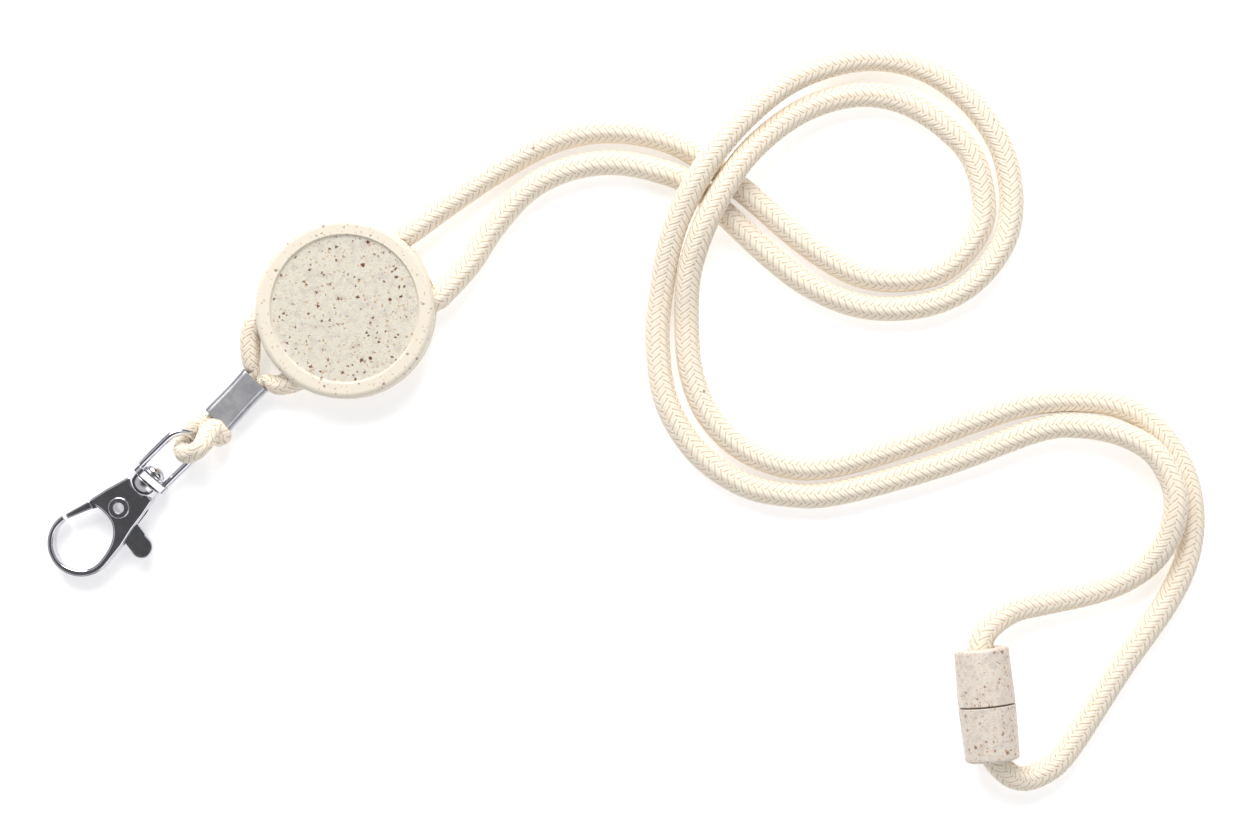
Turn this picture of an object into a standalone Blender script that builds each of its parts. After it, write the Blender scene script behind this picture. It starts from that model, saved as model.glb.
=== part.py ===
"""Lanyard: a braided cord through a round slider disc, with a swivel trigger hook and a break-away buckle.

Frame: the origin is the centre of the disc's flat back, on the table that the lanyard lies on.
+Z points up, away from the table, and +X along the lanyard's long side. Sizes are in millimetres
and are turned into metres where a mesh is made.
"""

from math import atan2, cos, pi, radians, sin

import bmesh
import bpy
from mathutils import Matrix, Vector

MM = 0.001

# Clearances
GAP = 0.3                 # between pieces that touch or are squeezed together
RUN = 0.15                # between the small moving pieces of the hook

# Cord
CORD_D = 4.8
CORD_REST_Z = CORD_D / 2 + 0.06
TUBE_STEP = 2.0           # tube points, in cord diameters
LEAD_STEP = 0.6           # the same where the cord turns sharply
CORD_ROUNDING = 4         # bevel resolution: 12 sides

# Disc
DISC_D = 35.0
RIM_WIDTH = 3.2           # round the recessed face
RECESS_DEPTH = 0.5
CHANNEL_R = CORD_D / 2 + GAP
CHANNEL_ANGLE = radians(30)
CHANNEL_OFFSET = 6.9      # each channel's centre line from the disc's middle
MOUTH_FLARE = 0.7         # how far the channels' mouths open out
BACK_WALL = 1.3           # under the channels
FACE_WALL = 0.8           # over the channels, up to the recessed face
DISC_SPLIT_Z = BACK_WALL + CHANNEL_R
FACE_Z = DISC_SPLIT_Z + CHANNEL_R + FACE_WALL
DISC_H = FACE_Z + RECESS_DEPTH
SPLIT_CHAMFER = 0.3
FRONT_ROUND = 1.2
BACK_ROUND = 0.9
PEG_D = 2.4
PEG_LENGTH = 2.2
PEG_DISTANCE = 9.0        # the pegs between the channels, from the disc's middle

# Crimp ferrule
FERRULE_LIFT = 0.2        # above the table
FERRULE_ANGLE = radians(46.8)
FERRULE_LENGTH = 11.0
FERRULE_WIDTH = 6.3
FERRULE_THICKNESS = 5.0
FERRULE_AT = (-21.5, -17.7, FERRULE_THICKNESS / 2 + FERRULE_LIFT)
FERRULE_WALL = 0.5
FERRULE_WAIST = 0.93      # share of the end's size left at the crimped middle
STRAND_IN_FERRULE_R = 1.05
STRAND_IN_FERRULE_OFFSET = 1.2

# Loop of cord round the bail's wire, seen from the disc's side
LOOP_CENTRE = (-29.1, -25.3, 5.25)
LOOP_R = 3.8              # wide enough for the bail to swing in it
LOOP_TWIST = radians(59)
LOOP_LIFT = radians(-12)
STRAND_IN_LOOP_R = 1.8

# Bail: its crown is the point that the whole clip hangs from
CROWN_AT = (-29.9, -24.7, 4.6)
CLIP_YAW = radians(-135.84)
CLIP_PITCH = radians(4.14)
BAIL_ROLL = radians(-30)
BAIL_WIRE_D = 1.6
BAIL_HALF_WIDTH = 3.45
BAIL_LENGTH = 11.0        # crown to the near face of the base plate
BASE_THICKNESS = 1.4
BASE_DEPTH = 4.6
BASE_CORNER = 1.6

# Swivel post and washer
POST_D = 2.4
POST_HEAD_D = 4.4
POST_HEAD_H = 1.3
POST_REACH = 3.8          # from the base plate's far face into the hook
WASHER_D = 4.8
WASHER_H = 0.4

# Hook body, in its own frame: X along the swivel axis from the bail's base plate, Y to the lever's side
HOOK_THICKNESS = 3.8
COLLAR_D = 6.8
COLLAR_H = 1.5
NECK_R = 2.6              # where the collar's cone meets the body
NECK_CONE_H = 1.2
RING_CENTRE = (18.0, -0.25)
RING_R = 6.65
RIVET_AT = (7.6, 0.1)
RIVET_HOLE_R = 1.6
RIVET_LIP = 0.5           # the heads' width round the hole
RIVET_HEAD_H = 0.45
RIVET_HEAD_EASE = 0.15
RIVET_WALL = 0.4
HEAD_GAP = 0.05           # between the rivet's heads and the cheeks
SLOT_WIDTH = 1.8
SLOT_CLEARANCE = 0.2      # each side of the gate
HUB_WALL = 1.0            # round the rivet's hole in the gate
GATE_HUB_R = RIVET_HOLE_R + HUB_WALL
HUB_CLEARANCE = 0.25
GATE_BAR_THICKNESS = 3.0
LEVER_THICKNESS = 2.6
SPRING_D = 1.4
SPRING_WIRE_D = 0.3
SPRING_AT = (2.7, 2.45)
SPRING_LENGTH = 2.9
SPRING_TURNS = 5
SPRING_STEPS = 10         # points on one turn

# Break-away buckle: its distances run down its axis from the top of the socket
BUCKLE_TOP = (123.9, -66.1)
BUCKLE_DOWN = (0.104, -0.9946)
BUCKLE_LENGTH = 22.0
SOCKET_LENGTH = 11.0
PARTING_GAP = 0.3
END_WALL = 1.8
END_ROUND = 0.4
CORD_HOLE_R = CORD_D / 2 + 0.35
PLUG_HOLE_R = CORD_D / 2 + 1.3     # wider, because the cord leaves it at an angle
CRIMP_SHOULDER = 0.3      # what the crimps stop on, past the wider hole
CRIMP_LENGTH = 2.8
CRIMP_R = PLUG_HOLE_R + CRIMP_SHOULDER
BARREL_BORE_R = CRIMP_R + GAP
BARREL_WALL = 1.35
BUCKLE_R = BARREL_BORE_R + BARREL_WALL     # at the parting line
BUCKLE_TAPER = 0.3
BUCKLE_END_R = BUCKLE_R - BUCKLE_TAPER
TONGUE_SPACE = 0.6        # between the tongue's ends and the crimps
TONGUE_WALL = 1.0
SNAP_BEAD = 0.15
SNAP_BEAD_LENGTH = 0.5    # each side of its top


def clear_scene():
    for obj in list(bpy.data.objects):
        bpy.data.objects.remove(obj, do_unlink=True)


def make_material(name, colour, roughness, metallic):
    material = bpy.data.materials.new(name)
    material.use_nodes = True
    shader = material.node_tree.nodes["Principled BSDF"]
    shader.inputs["Base Color"].default_value = (*colour, 1)
    shader.inputs["Roughness"].default_value = roughness
    shader.inputs["Metallic"].default_value = metallic
    material.diffuse_color = (*colour, 1)
    return material


def make_empty(name, location, rotation):
    empty = bpy.data.objects.new(name, None)
    empty.location = [v * MM for v in location]
    empty.rotation_euler = rotation
    bpy.context.collection.objects.link(empty)
    return empty


def add_object(name, bm, parent=None, material=None):
    """A mesh object in millimetres, with its faces pointing outwards."""
    bmesh.ops.remove_doubles(bm, verts=bm.verts, dist=1e-4)
    bmesh.ops.recalc_face_normals(bm, faces=bm.faces)
    bmesh.ops.scale(bm, vec=(MM, MM, MM), verts=bm.verts)
    mesh = bpy.data.meshes.new(name)
    bm.to_mesh(mesh)
    bm.free()
    mesh.shade_smooth()
    mesh.set_sharp_from_angle(angle=radians(35))
    obj = bpy.data.objects.new(name, mesh)
    bpy.context.collection.objects.link(obj)
    obj.parent = parent
    if material:
        mesh.materials.append(material)
    return obj


def turned(profile, sides=32):
    """A closed profile of (radius, height) points, turned about Z."""
    bm = bmesh.new()
    verts = [bm.verts.new((r, 0, z)) for r, z in profile]
    edges = [bm.edges.new((verts[i], verts[i - 1])) for i in range(len(verts))]
    bmesh.ops.spin(
        bm, geom=verts + edges, cent=(0, 0, 0), axis=(0, 0, 1), angle=2 * pi, steps=sides, use_merge=True
    )
    bmesh.ops.remove_doubles(bm, verts=bm.verts, dist=1e-4)
    bmesh.ops.dissolve_degenerate(bm, edges=bm.edges, dist=1e-5)
    return bm


def tube_profile(inner, outer, low, high):
    return [(inner, low), (outer, low), (outer, high), (inner, high)]


def prism(outline, low, high):
    """An outline in X and Y, pulled up from low to high."""
    bm = bmesh.new()
    face = bm.faces.new([bm.verts.new((x, y, low)) for x, y in outline])
    pulled = bmesh.ops.extrude_face_region(bm, geom=[face])["geom"]
    top = [v for v in pulled if isinstance(v, bmesh.types.BMVert)]
    bmesh.ops.translate(bm, vec=(0, 0, high - low), verts=top)
    return bm


def placed(bm, matrix):
    bmesh.ops.transform(bm, matrix=matrix, verts=bm.verts)
    return bm


def laid_along_x(bm, at=(0, 0, 0)):
    """Turns a shape made along Z so that it runs along X from at."""
    return placed(bm, Matrix.Translation(at) @ Matrix.Rotation(pi / 2, 4, "Y"))


def rod(radius, low, high, sides=20):
    return turned([(0, low), (radius, low), (radius, high), (0, high)], sides)


def moved(bm, at):
    bmesh.ops.translate(bm, vec=at, verts=bm.verts)
    return bm


def arc(centre, radius, start, end, steps):
    """Points on a circle, from the start angle to the end angle in degrees."""
    angles = [radians(start + (end - start) * i / steps) for i in range(steps + 1)]
    return [(centre[0] + radius * cos(a), centre[1] + radius * sin(a)) for a in angles]


def boolean(obj, other, operation="DIFFERENCE"):
    """Cuts other from obj, or joins it on. The other piece stays as a hidden guide."""
    other.hide_render = True
    other.display_type = "WIRE"
    modifier = obj.modifiers.new(other.name, "BOOLEAN")
    modifier.operation = operation
    modifier.object = other


def smooth_curve(points, step, closed=False):
    """Points a step apart on the Catmull-Rom curve through the points."""
    points = [Vector(p) for p in points]
    count = len(points)
    spans = count if closed else count - 1
    fine = []
    for i in range(spans):
        if closed:
            p0, p1, p2, p3 = (points[(i + k) % count] for k in (-1, 0, 1, 2))
        else:
            p0, p1, p2, p3 = (points[min(max(i + k, 0), count - 1)] for k in (-1, 0, 1, 2))
        for k in range(20):
            t = k / 20
            fine.append(
                0.5 * (2 * p1 + (p2 - p0) * t + (2 * p0 - 5 * p1 + 4 * p2 - p3) * t**2
                       + (3 * p1 - p0 - 3 * p2 + p3) * t**3)
            )
    fine.append(points[0] if closed else points[-1])
    at = [0.0]
    for a, b in zip(fine, fine[1:]):
        at.append(at[-1] + (b - a).length)
    wanted = max(round(at[-1] / step), 2)
    picked, i = [], 0
    for k in range(wanted + 1):
        goal = at[-1] * k / wanted
        while i < len(at) - 2 and at[i + 1] < goal:
            i += 1
        share = (goal - at[i]) / max(at[i + 1] - at[i], 1e-9)
        picked.append(fine[i].lerp(fine[i + 1], min(max(share, 0), 1)))
    return picked[:-1] if closed else picked


def cord_tube(name, points, diameter, material, radii=None):
    """A round cord along points, as a poly curve with a bevel and filled caps."""
    curve = bpy.data.curves.new(name, "CURVE")
    curve.dimensions = "3D"
    curve.bevel_depth = diameter / 2 * MM
    curve.bevel_resolution = CORD_ROUNDING
    curve.use_fill_caps = True
    spline = curve.splines.new("POLY")
    spline.points.add(len(points) - 1)
    for i, point in enumerate(points):
        spline.points[i].co = (*(Vector(point) * MM), 1)
        if radii:
            spline.points[i].radius = radii[i] / (diameter / 2)
    curve.materials.append(material)
    obj = bpy.data.objects.new(name, curve)
    bpy.context.collection.objects.link(obj)
    return obj


def along(angle, offset, distance, z):
    """A point beside a line through the origin at angle, offset to its left, distance along it."""
    return (
        cos(angle) * distance - sin(angle) * offset,
        sin(angle) * distance + cos(angle) * offset,
        z,
    )


def channel_rim():
    """How far from its middle a disc channel reaches the rim."""
    return (DISC_D**2 / 4 - CHANNEL_OFFSET**2) ** 0.5


def in_channel(side, distance):
    """A point on the centre line of a disc channel. Side is 1 for the inner run, -1 for the outer."""
    return along(CHANNEL_ANGLE, side * CHANNEL_OFFSET, distance, DISC_SPLIT_Z)


# The routes' own points, chosen by hand along the cord as it lies. Z is left out where it rests.
INNER_ROUTE = [
    (13.4, 15.8, 3.8), (20.1, 20.8, 3.0), (29.9, 27.5), (39.7, 32.8), (49.6, 35.0), (59.4, 34.1),
    (67.6, 30.9), (77.8, 23.2), (91.1, 12.0), (101.2, 6.6), (111.7, 6.2), (119.2, 9.7),
    (124.6, 18.0), (123.0, 28.9), (117.4, 35.6), (109.3, 40.6), (100.7, 42.1, 2.6), (91.9, 40.1, 3.1),
    (84.3, 35.7, 4.6), (76.9, 28.4, 7.0), (70.7, 17.9, 7.5), (67.1, 7.4, 5.0), (66.6, -2.5, 2.9),
    (67.4, -11.9), (70.6, -20.3), (77.3, -27.1), (86.2, -30.6), (95.2, -30.5), (109.8, -26.4),
    (124.3, -21.2), (134.1, -18.3), (143.7, -17.7), (152.4, -19.2), (159.0, -24.0), (163.8, -31.5),
    (165.6, -39.9), (164.6, -48.4), (160.5, -57.4), (151.5, -70.3), (142.6, -84.2),
]
PLUG_LEAD_ROUTE = [
    (138.4, -89.3), (133.6, -91.7, 2.7), (129.9, -91.1, 4.0),
]
OUTER_ROUTE = [
    (18.1, 2.4, 3.9), (24.0, 8.9, 3.0), (28.7, 16.1), (35.2, 23.3), (42.7, 27.3), (51.5, 28.8),
    (60.4, 27.4), (68.4, 23.8), (82.6, 10.8), (90.7, 4.7), (99.4, 1.0), (107.9, 0.2), (116.7, 1.9),
    (123.9, 6.5), (129.1, 14.2), (130.2, 22.6), (128.0, 32.3), (122.1, 40.8), (113.5, 46.9),
    (103.8, 49.1, 2.6), (94.2, 47.6, 3.6), (85.0, 43.3, 5.6), (76.0, 35.3, 7.8), (69.0, 26.0, 8.0),
    (63.9, 15.1, 5.8), (61.5, 3.1, 3.2), (60.9, -7.0), (62.7, -18.3), (68.6, -27.8), (77.1, -34.0),
    (86.1, -36.2), (96.2, -35.9), (117.1, -30.2), (135.3, -23.6, 2.6), (143.5, -22.8, 3.4),
    (151.6, -24.4, 4.8), (157.7, -28.1, 6.1), (161.2, -34.2, 6.6), (161.6, -39.7, 6.5),
    (159.8, -45.8, 5.2), (155.3, -51.1, 3.2), (147.9, -54.8), (136.5, -57.4, 2.9),
]
OUTER_BEND = [(131.3, -58.5, 3.5), (127.3, -60.6, 4.6), (124.6, -63.2, 5.4)]


def resting(route):
    """The route with the resting height where none is given."""
    return [(*p, CORD_REST_Z) if len(p) == 2 else p for p in route]


def buckle_point(distance, right=0.0, z=BUCKLE_R):
    """A point on the buckle's axis, distance down from the socket's top and right of it."""
    down = BUCKLE_DOWN
    return (
        BUCKLE_TOP[0] + down[0] * distance - down[1] * right,
        BUCKLE_TOP[1] + down[1] * distance + down[0] * right,
        z,
    )


def cut_channel(shells, side):
    """Cuts one cord channel, with its two flared mouths, from both shells."""
    turn = Matrix.Translation(in_channel(side, 0)) @ Matrix.Rotation(CHANNEL_ANGLE, 4, "Z")
    channel = placed(laid_along_x(rod(CHANNEL_R, -DISC_D, DISC_D)), turn)
    cutters = [add_object(f"channel_cutter_{side}", channel)]
    for end in (1, -1):
        mouth = bmesh.new()
        bmesh.ops.create_uvsphere(mouth, u_segments=20, v_segments=12, radius=CHANNEL_R + MOUTH_FLARE)
        x, y, z = in_channel(side, end * (channel_rim() + MOUTH_FLARE))
        cutter = moved(mouth, (x, y + end * MOUTH_FLARE, z))
        cutters.append(add_object(f"mouth_cutter_{side}_{end}", cutter))
    for shell in shells:
        for cutter in cutters:
            boolean(shell, cutter)


def build_disc(front_plastic, back_plastic):
    radius = DISC_D / 2
    recess = radius - RIM_WIDTH
    half = GAP / 2
    front = turned(
        [
            (0, DISC_SPLIT_Z + half),
            (radius - SPLIT_CHAMFER, DISC_SPLIT_Z + half),
            (radius, DISC_SPLIT_Z + half + SPLIT_CHAMFER),
            *arc((radius - FRONT_ROUND, DISC_H - FRONT_ROUND), FRONT_ROUND, 0, 90, 4),
            (recess + 0.3, DISC_H),
            (recess, FACE_Z + 0.1),
            (recess - 0.1, FACE_Z),
            (0, FACE_Z),
        ],
        sides=72,
    )
    back = turned(
        [
            (0, 0),
            *arc((radius - BACK_ROUND, BACK_ROUND), BACK_ROUND, -90, 0, 3),
            (radius, DISC_SPLIT_Z - half - SPLIT_CHAMFER),
            (radius - SPLIT_CHAMFER, DISC_SPLIT_Z - half),
            (0, DISC_SPLIT_Z - half),
        ],
        sides=72,
    )
    front_shell = add_object("disc_front_shell", front, material=front_plastic)
    back_shell = add_object("disc_back_shell", back, material=back_plastic)
    for side in (1, -1):
        cut_channel((front_shell, back_shell), side)
    # Pegs stand down from the front shell, clear of the channels, into sockets in the back one
    outside = (CHANNEL_OFFSET + CHANNEL_R + radius) / 2
    places = ((0, PEG_DISTANCE), (0, -PEG_DISTANCE), (outside, 0), (-outside, 0))
    for i, (offset, distance) in enumerate(places):
        at = along(CHANNEL_ANGLE, offset, distance, DISC_SPLIT_Z)
        peg = moved(rod(PEG_D / 2, -PEG_LENGTH, 1, 16), at)
        boolean(front_shell, add_object(f"peg_{i}", peg), "UNION")
        hole = moved(rod(PEG_D / 2 + GAP, -PEG_LENGTH - GAP, 1, 16), at)
        boolean(back_shell, add_object(f"peg_hole_{i}", hole))


def build_ferrule(metal):
    """An oval tube that is narrower at its crimped middle."""
    bm = bmesh.new()
    stations = 7
    sides = 24
    loops = []
    for inside in (False, True):
        rings = []
        for i in range(stations):
            share = i / (stations - 1)
            size = 1 - (1 - FERRULE_WAIST) * sin(pi * share)
            wall = FERRULE_WALL if inside else 0
            half_width = FERRULE_WIDTH / 2 * size - wall
            half_thickness = FERRULE_THICKNESS / 2 * size - wall
            x = FERRULE_LENGTH * (share - 0.5)
            turns = [2 * pi * k / sides for k in range(sides)]
            rings.append([bm.verts.new((x, half_width * cos(a), half_thickness * sin(a))) for a in turns])
        loops.append(rings)
    outer, inner = loops
    pairs = [*zip(outer, outer[1:]), *zip(inner, inner[1:]), (outer[0], inner[0]), (outer[-1], inner[-1])]
    for a, b in pairs:
        for k in range(sides):
            bm.faces.new((a[k - 1], a[k], b[k], b[k - 1]))
    axis = make_empty("ferrule_axis", FERRULE_AT, (0, 0, FERRULE_ANGLE))
    add_object("crimp_ferrule", bm, axis, metal)


def bail_path():
    """The bail's wire in its own plane: two legs and a round crown."""
    r = BAIL_HALF_WIDTH
    crown = arc((r, 0), r, 90, 270, 14)
    end = BAIL_LENGTH + BASE_THICKNESS / 2
    return [(end, r, 0), *[(x, y, 0) for x, y in crown], (end, -r, 0)]


def clip_turn():
    return Matrix.Rotation(CLIP_YAW, 4, "Z") @ Matrix.Rotation(CLIP_PITCH, 4, "Y")


def clip_point(along_axis, beside=0.0):
    """A point in the clip's frame, which runs along the swivel axis from the crown, in world places."""
    return Vector(CROWN_AT) + clip_turn() @ Vector((along_axis, beside, 0))


def build_bail(metal):
    hinge = make_empty("bail_hinge", CROWN_AT, (BAIL_ROLL, CLIP_PITCH, CLIP_YAW))
    wire = cord_tube("bail_wire", bail_path(), BAIL_WIRE_D, metal)
    mesh = bpy.data.meshes.new_from_object(wire.evaluated_get(bpy.context.evaluated_depsgraph_get()))
    bpy.data.objects.remove(wire, do_unlink=True)
    bm = bmesh.new()
    bm.from_mesh(mesh)
    bmesh.ops.scale(bm, vec=(1 / MM, 1 / MM, 1 / MM), verts=bm.verts)
    bail = add_object("swivel_bail", bm, hinge, metal)
    wide = BAIL_HALF_WIDTH + BAIL_WIRE_D / 2 - BASE_CORNER
    deep = BASE_DEPTH / 2 - BASE_CORNER
    outline = [
        *arc((deep, wide), BASE_CORNER, 0, 90, 4),
        *arc((-deep, wide), BASE_CORNER, 90, 180, 4),
        *arc((-deep, -wide), BASE_CORNER, 180, 270, 4),
        *arc((deep, -wide), BASE_CORNER, 270, 360, 4),
    ]
    base_at = (BAIL_LENGTH, 0, 0)
    plate = laid_along_x(prism(outline, 0, BASE_THICKNESS), base_at)
    boolean(bail, add_object("base_plate", plate, hinge), "UNION")
    hole = laid_along_x(rod(POST_D / 2 + RUN, -1, BASE_THICKNESS + 1), base_at)
    boolean(bail, add_object("post_hole", hole, hinge))


def build_swivel(axis, metal):
    """The post holds the hook on the bail: its head is inside the bail, on the washer."""
    shank = POST_D / 2
    head = POST_HEAD_D / 2
    washer_top = BASE_THICKNESS + RUN + WASHER_H
    under_head = -washer_top - RUN
    dome = [(head * cos(radians(a)), under_head - POST_HEAD_H * sin(radians(a))) for a in (20, 45, 70)]
    profile = [(0, POST_REACH), (shank, POST_REACH), (shank, under_head), (head, under_head)]
    profile += [*dome, (0, under_head - POST_HEAD_H)]
    add_object("swivel_post", laid_along_x(turned(profile, 24)), axis, metal)
    washer = turned(tube_profile(shank + RUN, WASHER_D / 2, -washer_top, -BASE_THICKNESS - RUN), 24)
    add_object("swivel_washer", laid_along_x(washer), axis, metal)


# Outlines in the hook's own frame
HOOK_OUTLINE = [
    (1.8, -3.0), (1.8, 3.7), (5.2, 4.4), (8.8, 4.9), (12.6, 5.8), *arc(RING_CENTRE, RING_R, 100, -100, 24),
    (16.5, -6.6), (11.6, -5.4), (10.3, -5.1), (7.0, -4.4),
]
RING_OPENING = [
    (10.5, -1.4), (11.0, 1.4), (13.0, 3.5), (16.2, 4.6), (19.5, 4.7), (22.1, 2.9), (23.4, -0.3),
    (22.5, -3.3), (20.0, -5.3), (17.2, -5.5), (14.0, -4.9), (11.2, -3.9),
]
RING_OPENING_STEP = 1.3
MOUTH_GAP = [(10.55, -3.2), (10.3, -8), (16.6, -8), (17.1, -6.2), (17.2, -4.9)]
LEVER_END = arc((10.0, 8.6), 2.2, 10, 170, 6)
GATE_OUTLINE = [
    (10.3, 2.0), (11.8, 5.6), (12.2, 8.6), *LEVER_END, (7.8, 7.5), (7.4, 4.2),
    *arc(RIVET_AT, GATE_HUB_R, 125, 235, 6), (8.4, -4.0), (10.4, -4.9), (16.2, -6.5), (16.5, -5.4),
    (12.8, -4.0), (10.9, -3.0), (10.2, -1.6),
]
GATE_BAR = [(10.9, -5.05), (16.1, -6.45), (16.4, -5.45), (11.4, -3.4)]
LEVER_PAD = [(7.9, 7.3), (12.0, 7.3), (12.2, 8.6), *LEVER_END]
# As wide as the gate sweeps between shut and open
GATE_SLOT = [
    (10.9, 2.0), (12.4, 5.4), (13.0, 9), (3.7, 9), (3.7, 5.5), (4.5, 3.0),
    *arc(RIVET_AT, GATE_HUB_R + HUB_CLEARANCE, 160, 238, 5), (8.1, -4.4), (9.6, -5.1), (10.2, -7.0),
    (13.6, -7.0), (13.6, 1.0),
]


def build_hook(axis, metal):
    half = HOOK_THICKNESS / 2
    past = half + 2
    hook = add_object("hook_body", prism(HOOK_OUTLINE, -half, half), axis, metal)
    smooth = smooth_curve([(x, y, 0) for x, y in RING_OPENING], RING_OPENING_STEP, closed=True)
    opening = prism([(p.x, p.y) for p in smooth], -past, past)
    boolean(hook, add_object("ring_opening", opening, axis))
    boolean(hook, add_object("mouth_gap", prism(MOUTH_GAP, -past, past), axis))
    cone_top = COLLAR_H + NECK_CONE_H
    flange = COLLAR_D / 2
    collar = turned([(0, 0), (flange, 0), (flange, COLLAR_H), (NECK_R, cone_top), (0, cone_top)], 28)
    boolean(hook, add_object("collar", laid_along_x(collar, (RUN, 0, 0)), axis), "UNION")
    post_socket = laid_along_x(rod(POST_D / 2 + RUN, -1, POST_REACH + RUN))
    boolean(hook, add_object("post_socket", post_socket, axis))
    boolean(hook, add_object("gate_slot", prism(GATE_SLOT, -SLOT_WIDTH / 2, SLOT_WIDTH / 2), axis))
    rivet_hole = moved(rod(RIVET_HOLE_R, -past, past, 24), (*RIVET_AT, 0))
    boolean(hook, add_object("rivet_hole", rivet_hole, axis))
    pocket = rod(SPRING_D / 2 + RUN, 0, SPRING_LENGTH + 1.1, 16)
    pocket_at = (SPRING_AT[0] - RUN, SPRING_AT[1], 0)
    boolean(hook, add_object("spring_pocket", laid_along_x(pocket, pocket_at), axis))


def build_gate(hinge, metal):
    """The gate turns about the rivet. Its outline is the hub, the gate's arm and the thumb lever."""
    def about_rivet(outline, thickness):
        local = [(x - RIVET_AT[0], y - RIVET_AT[1]) for x, y in outline]
        return prism(local, -thickness / 2, thickness / 2)

    plate = about_rivet(GATE_OUTLINE, SLOT_WIDTH - 2 * SLOT_CLEARANCE)
    gate = add_object("hook_gate", plate, hinge, metal)
    bar = about_rivet(GATE_BAR, GATE_BAR_THICKNESS)
    boolean(gate, add_object("gate_bar", bar, hinge), "UNION")
    pad = about_rivet(LEVER_PAD, LEVER_THICKNESS)
    boolean(gate, add_object("lever_pad", pad, hinge), "UNION")
    hole = rod(RIVET_HOLE_R, -HOOK_THICKNESS, HOOK_THICKNESS, 24)
    boolean(gate, add_object("gate_hole", hole, hinge))


def build_rivet_and_spring(axis, metal, steel):
    shank = RIVET_HOLE_R - RUN
    bore = shank - RIVET_WALL
    head = RIVET_HOLE_R + RIVET_LIP
    half = HOOK_THICKNESS / 2 + HEAD_GAP
    top = half + RIVET_HEAD_H
    eased = top - RIVET_HEAD_EASE
    lip = head - RIVET_HEAD_EASE
    profile = [
        (bore, -top), (lip, -top), (head, -eased), (head, -half), (shank, -half),
        (shank, half), (head, half), (head, eased), (lip, top), (bore, top),
    ]
    add_object("gate_rivet", moved(turned(profile, 28), (*RIVET_AT, 0)), axis, metal)
    coil_r = (SPRING_D - SPRING_WIRE_D) / 2
    run = SPRING_LENGTH - SPRING_WIRE_D
    count = SPRING_TURNS * SPRING_STEPS
    points = []
    for i in range(count + 1):
        angle = 2 * pi * i / SPRING_STEPS
        x = SPRING_AT[0] + SPRING_WIRE_D / 2 + run * i / count
        points.append((x, SPRING_AT[1] + coil_r * cos(angle), coil_r * sin(angle)))
    spring = cord_tube("gate_spring", points, SPRING_WIRE_D, steel)
    spring.data.bevel_resolution = 1
    spring.parent = axis


def build_buckle(plastic, tongue_plastic, metal):
    yaw = atan2(BUCKLE_DOWN[1], BUCKLE_DOWN[0])
    socket_axis = make_empty("socket_axis", buckle_point(0), (0, 0, yaw))
    plug_axis = make_empty("plug_slide", buckle_point(0), (0, 0, yaw))
    end_lip = BUCKLE_END_R - END_ROUND
    socket = turned([
        (CORD_HOLE_R, 0), (end_lip, 0), (BUCKLE_END_R, END_ROUND), (BUCKLE_R, SOCKET_LENGTH),
        (BARREL_BORE_R, SOCKET_LENGTH), (BARREL_BORE_R, END_WALL), (CORD_HOLE_R, END_WALL),
    ], 40)
    add_object("buckle_socket", laid_along_x(socket), socket_axis, plastic)
    start = SOCKET_LENGTH + PARTING_GAP
    end = BUCKLE_LENGTH
    sleeve = turned([
        (BARREL_BORE_R, start), (BUCKLE_R, start), (BUCKLE_END_R, end - END_ROUND), (end_lip, end),
        (PLUG_HOLE_R, end), (PLUG_HOLE_R, end - END_WALL), (BARREL_BORE_R, end - END_WALL),
    ], 40)
    add_object("buckle_plug_sleeve", laid_along_x(sleeve), plug_axis, plastic)
    # The tongue fills the barrel between the two crimps, with a snap bead near its tip
    crimp_in = CORD_D / 2 + GAP
    socket_crimp = END_WALL + GAP
    plug_crimp = end - END_WALL - GAP - CRIMP_LENGTH
    tip = socket_crimp + CRIMP_LENGTH + TONGUE_SPACE
    back = plug_crimp - TONGUE_SPACE
    tongue_r = BARREL_BORE_R - GAP
    bead = tip + 0.9
    tongue = turned([
        (tongue_r - TONGUE_WALL, tip), (tongue_r - 0.2, tip), (tongue_r, bead - SNAP_BEAD_LENGTH),
        (tongue_r + SNAP_BEAD, bead), (tongue_r, bead + SNAP_BEAD_LENGTH), (tongue_r, back),
        (tongue_r - TONGUE_WALL, back),
    ], 32)
    add_object("buckle_plug_insert", laid_along_x(tongue), plug_axis, tongue_plastic)
    crimps = (("socket_cord_crimp", socket_crimp, socket_axis), ("plug_cord_crimp", plug_crimp, plug_axis))
    for name, low, axis in crimps:
        crimp = turned(tube_profile(crimp_in, CRIMP_R, low, low + CRIMP_LENGTH), 24)
        add_object(name, laid_along_x(crimp), axis, metal)


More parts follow.
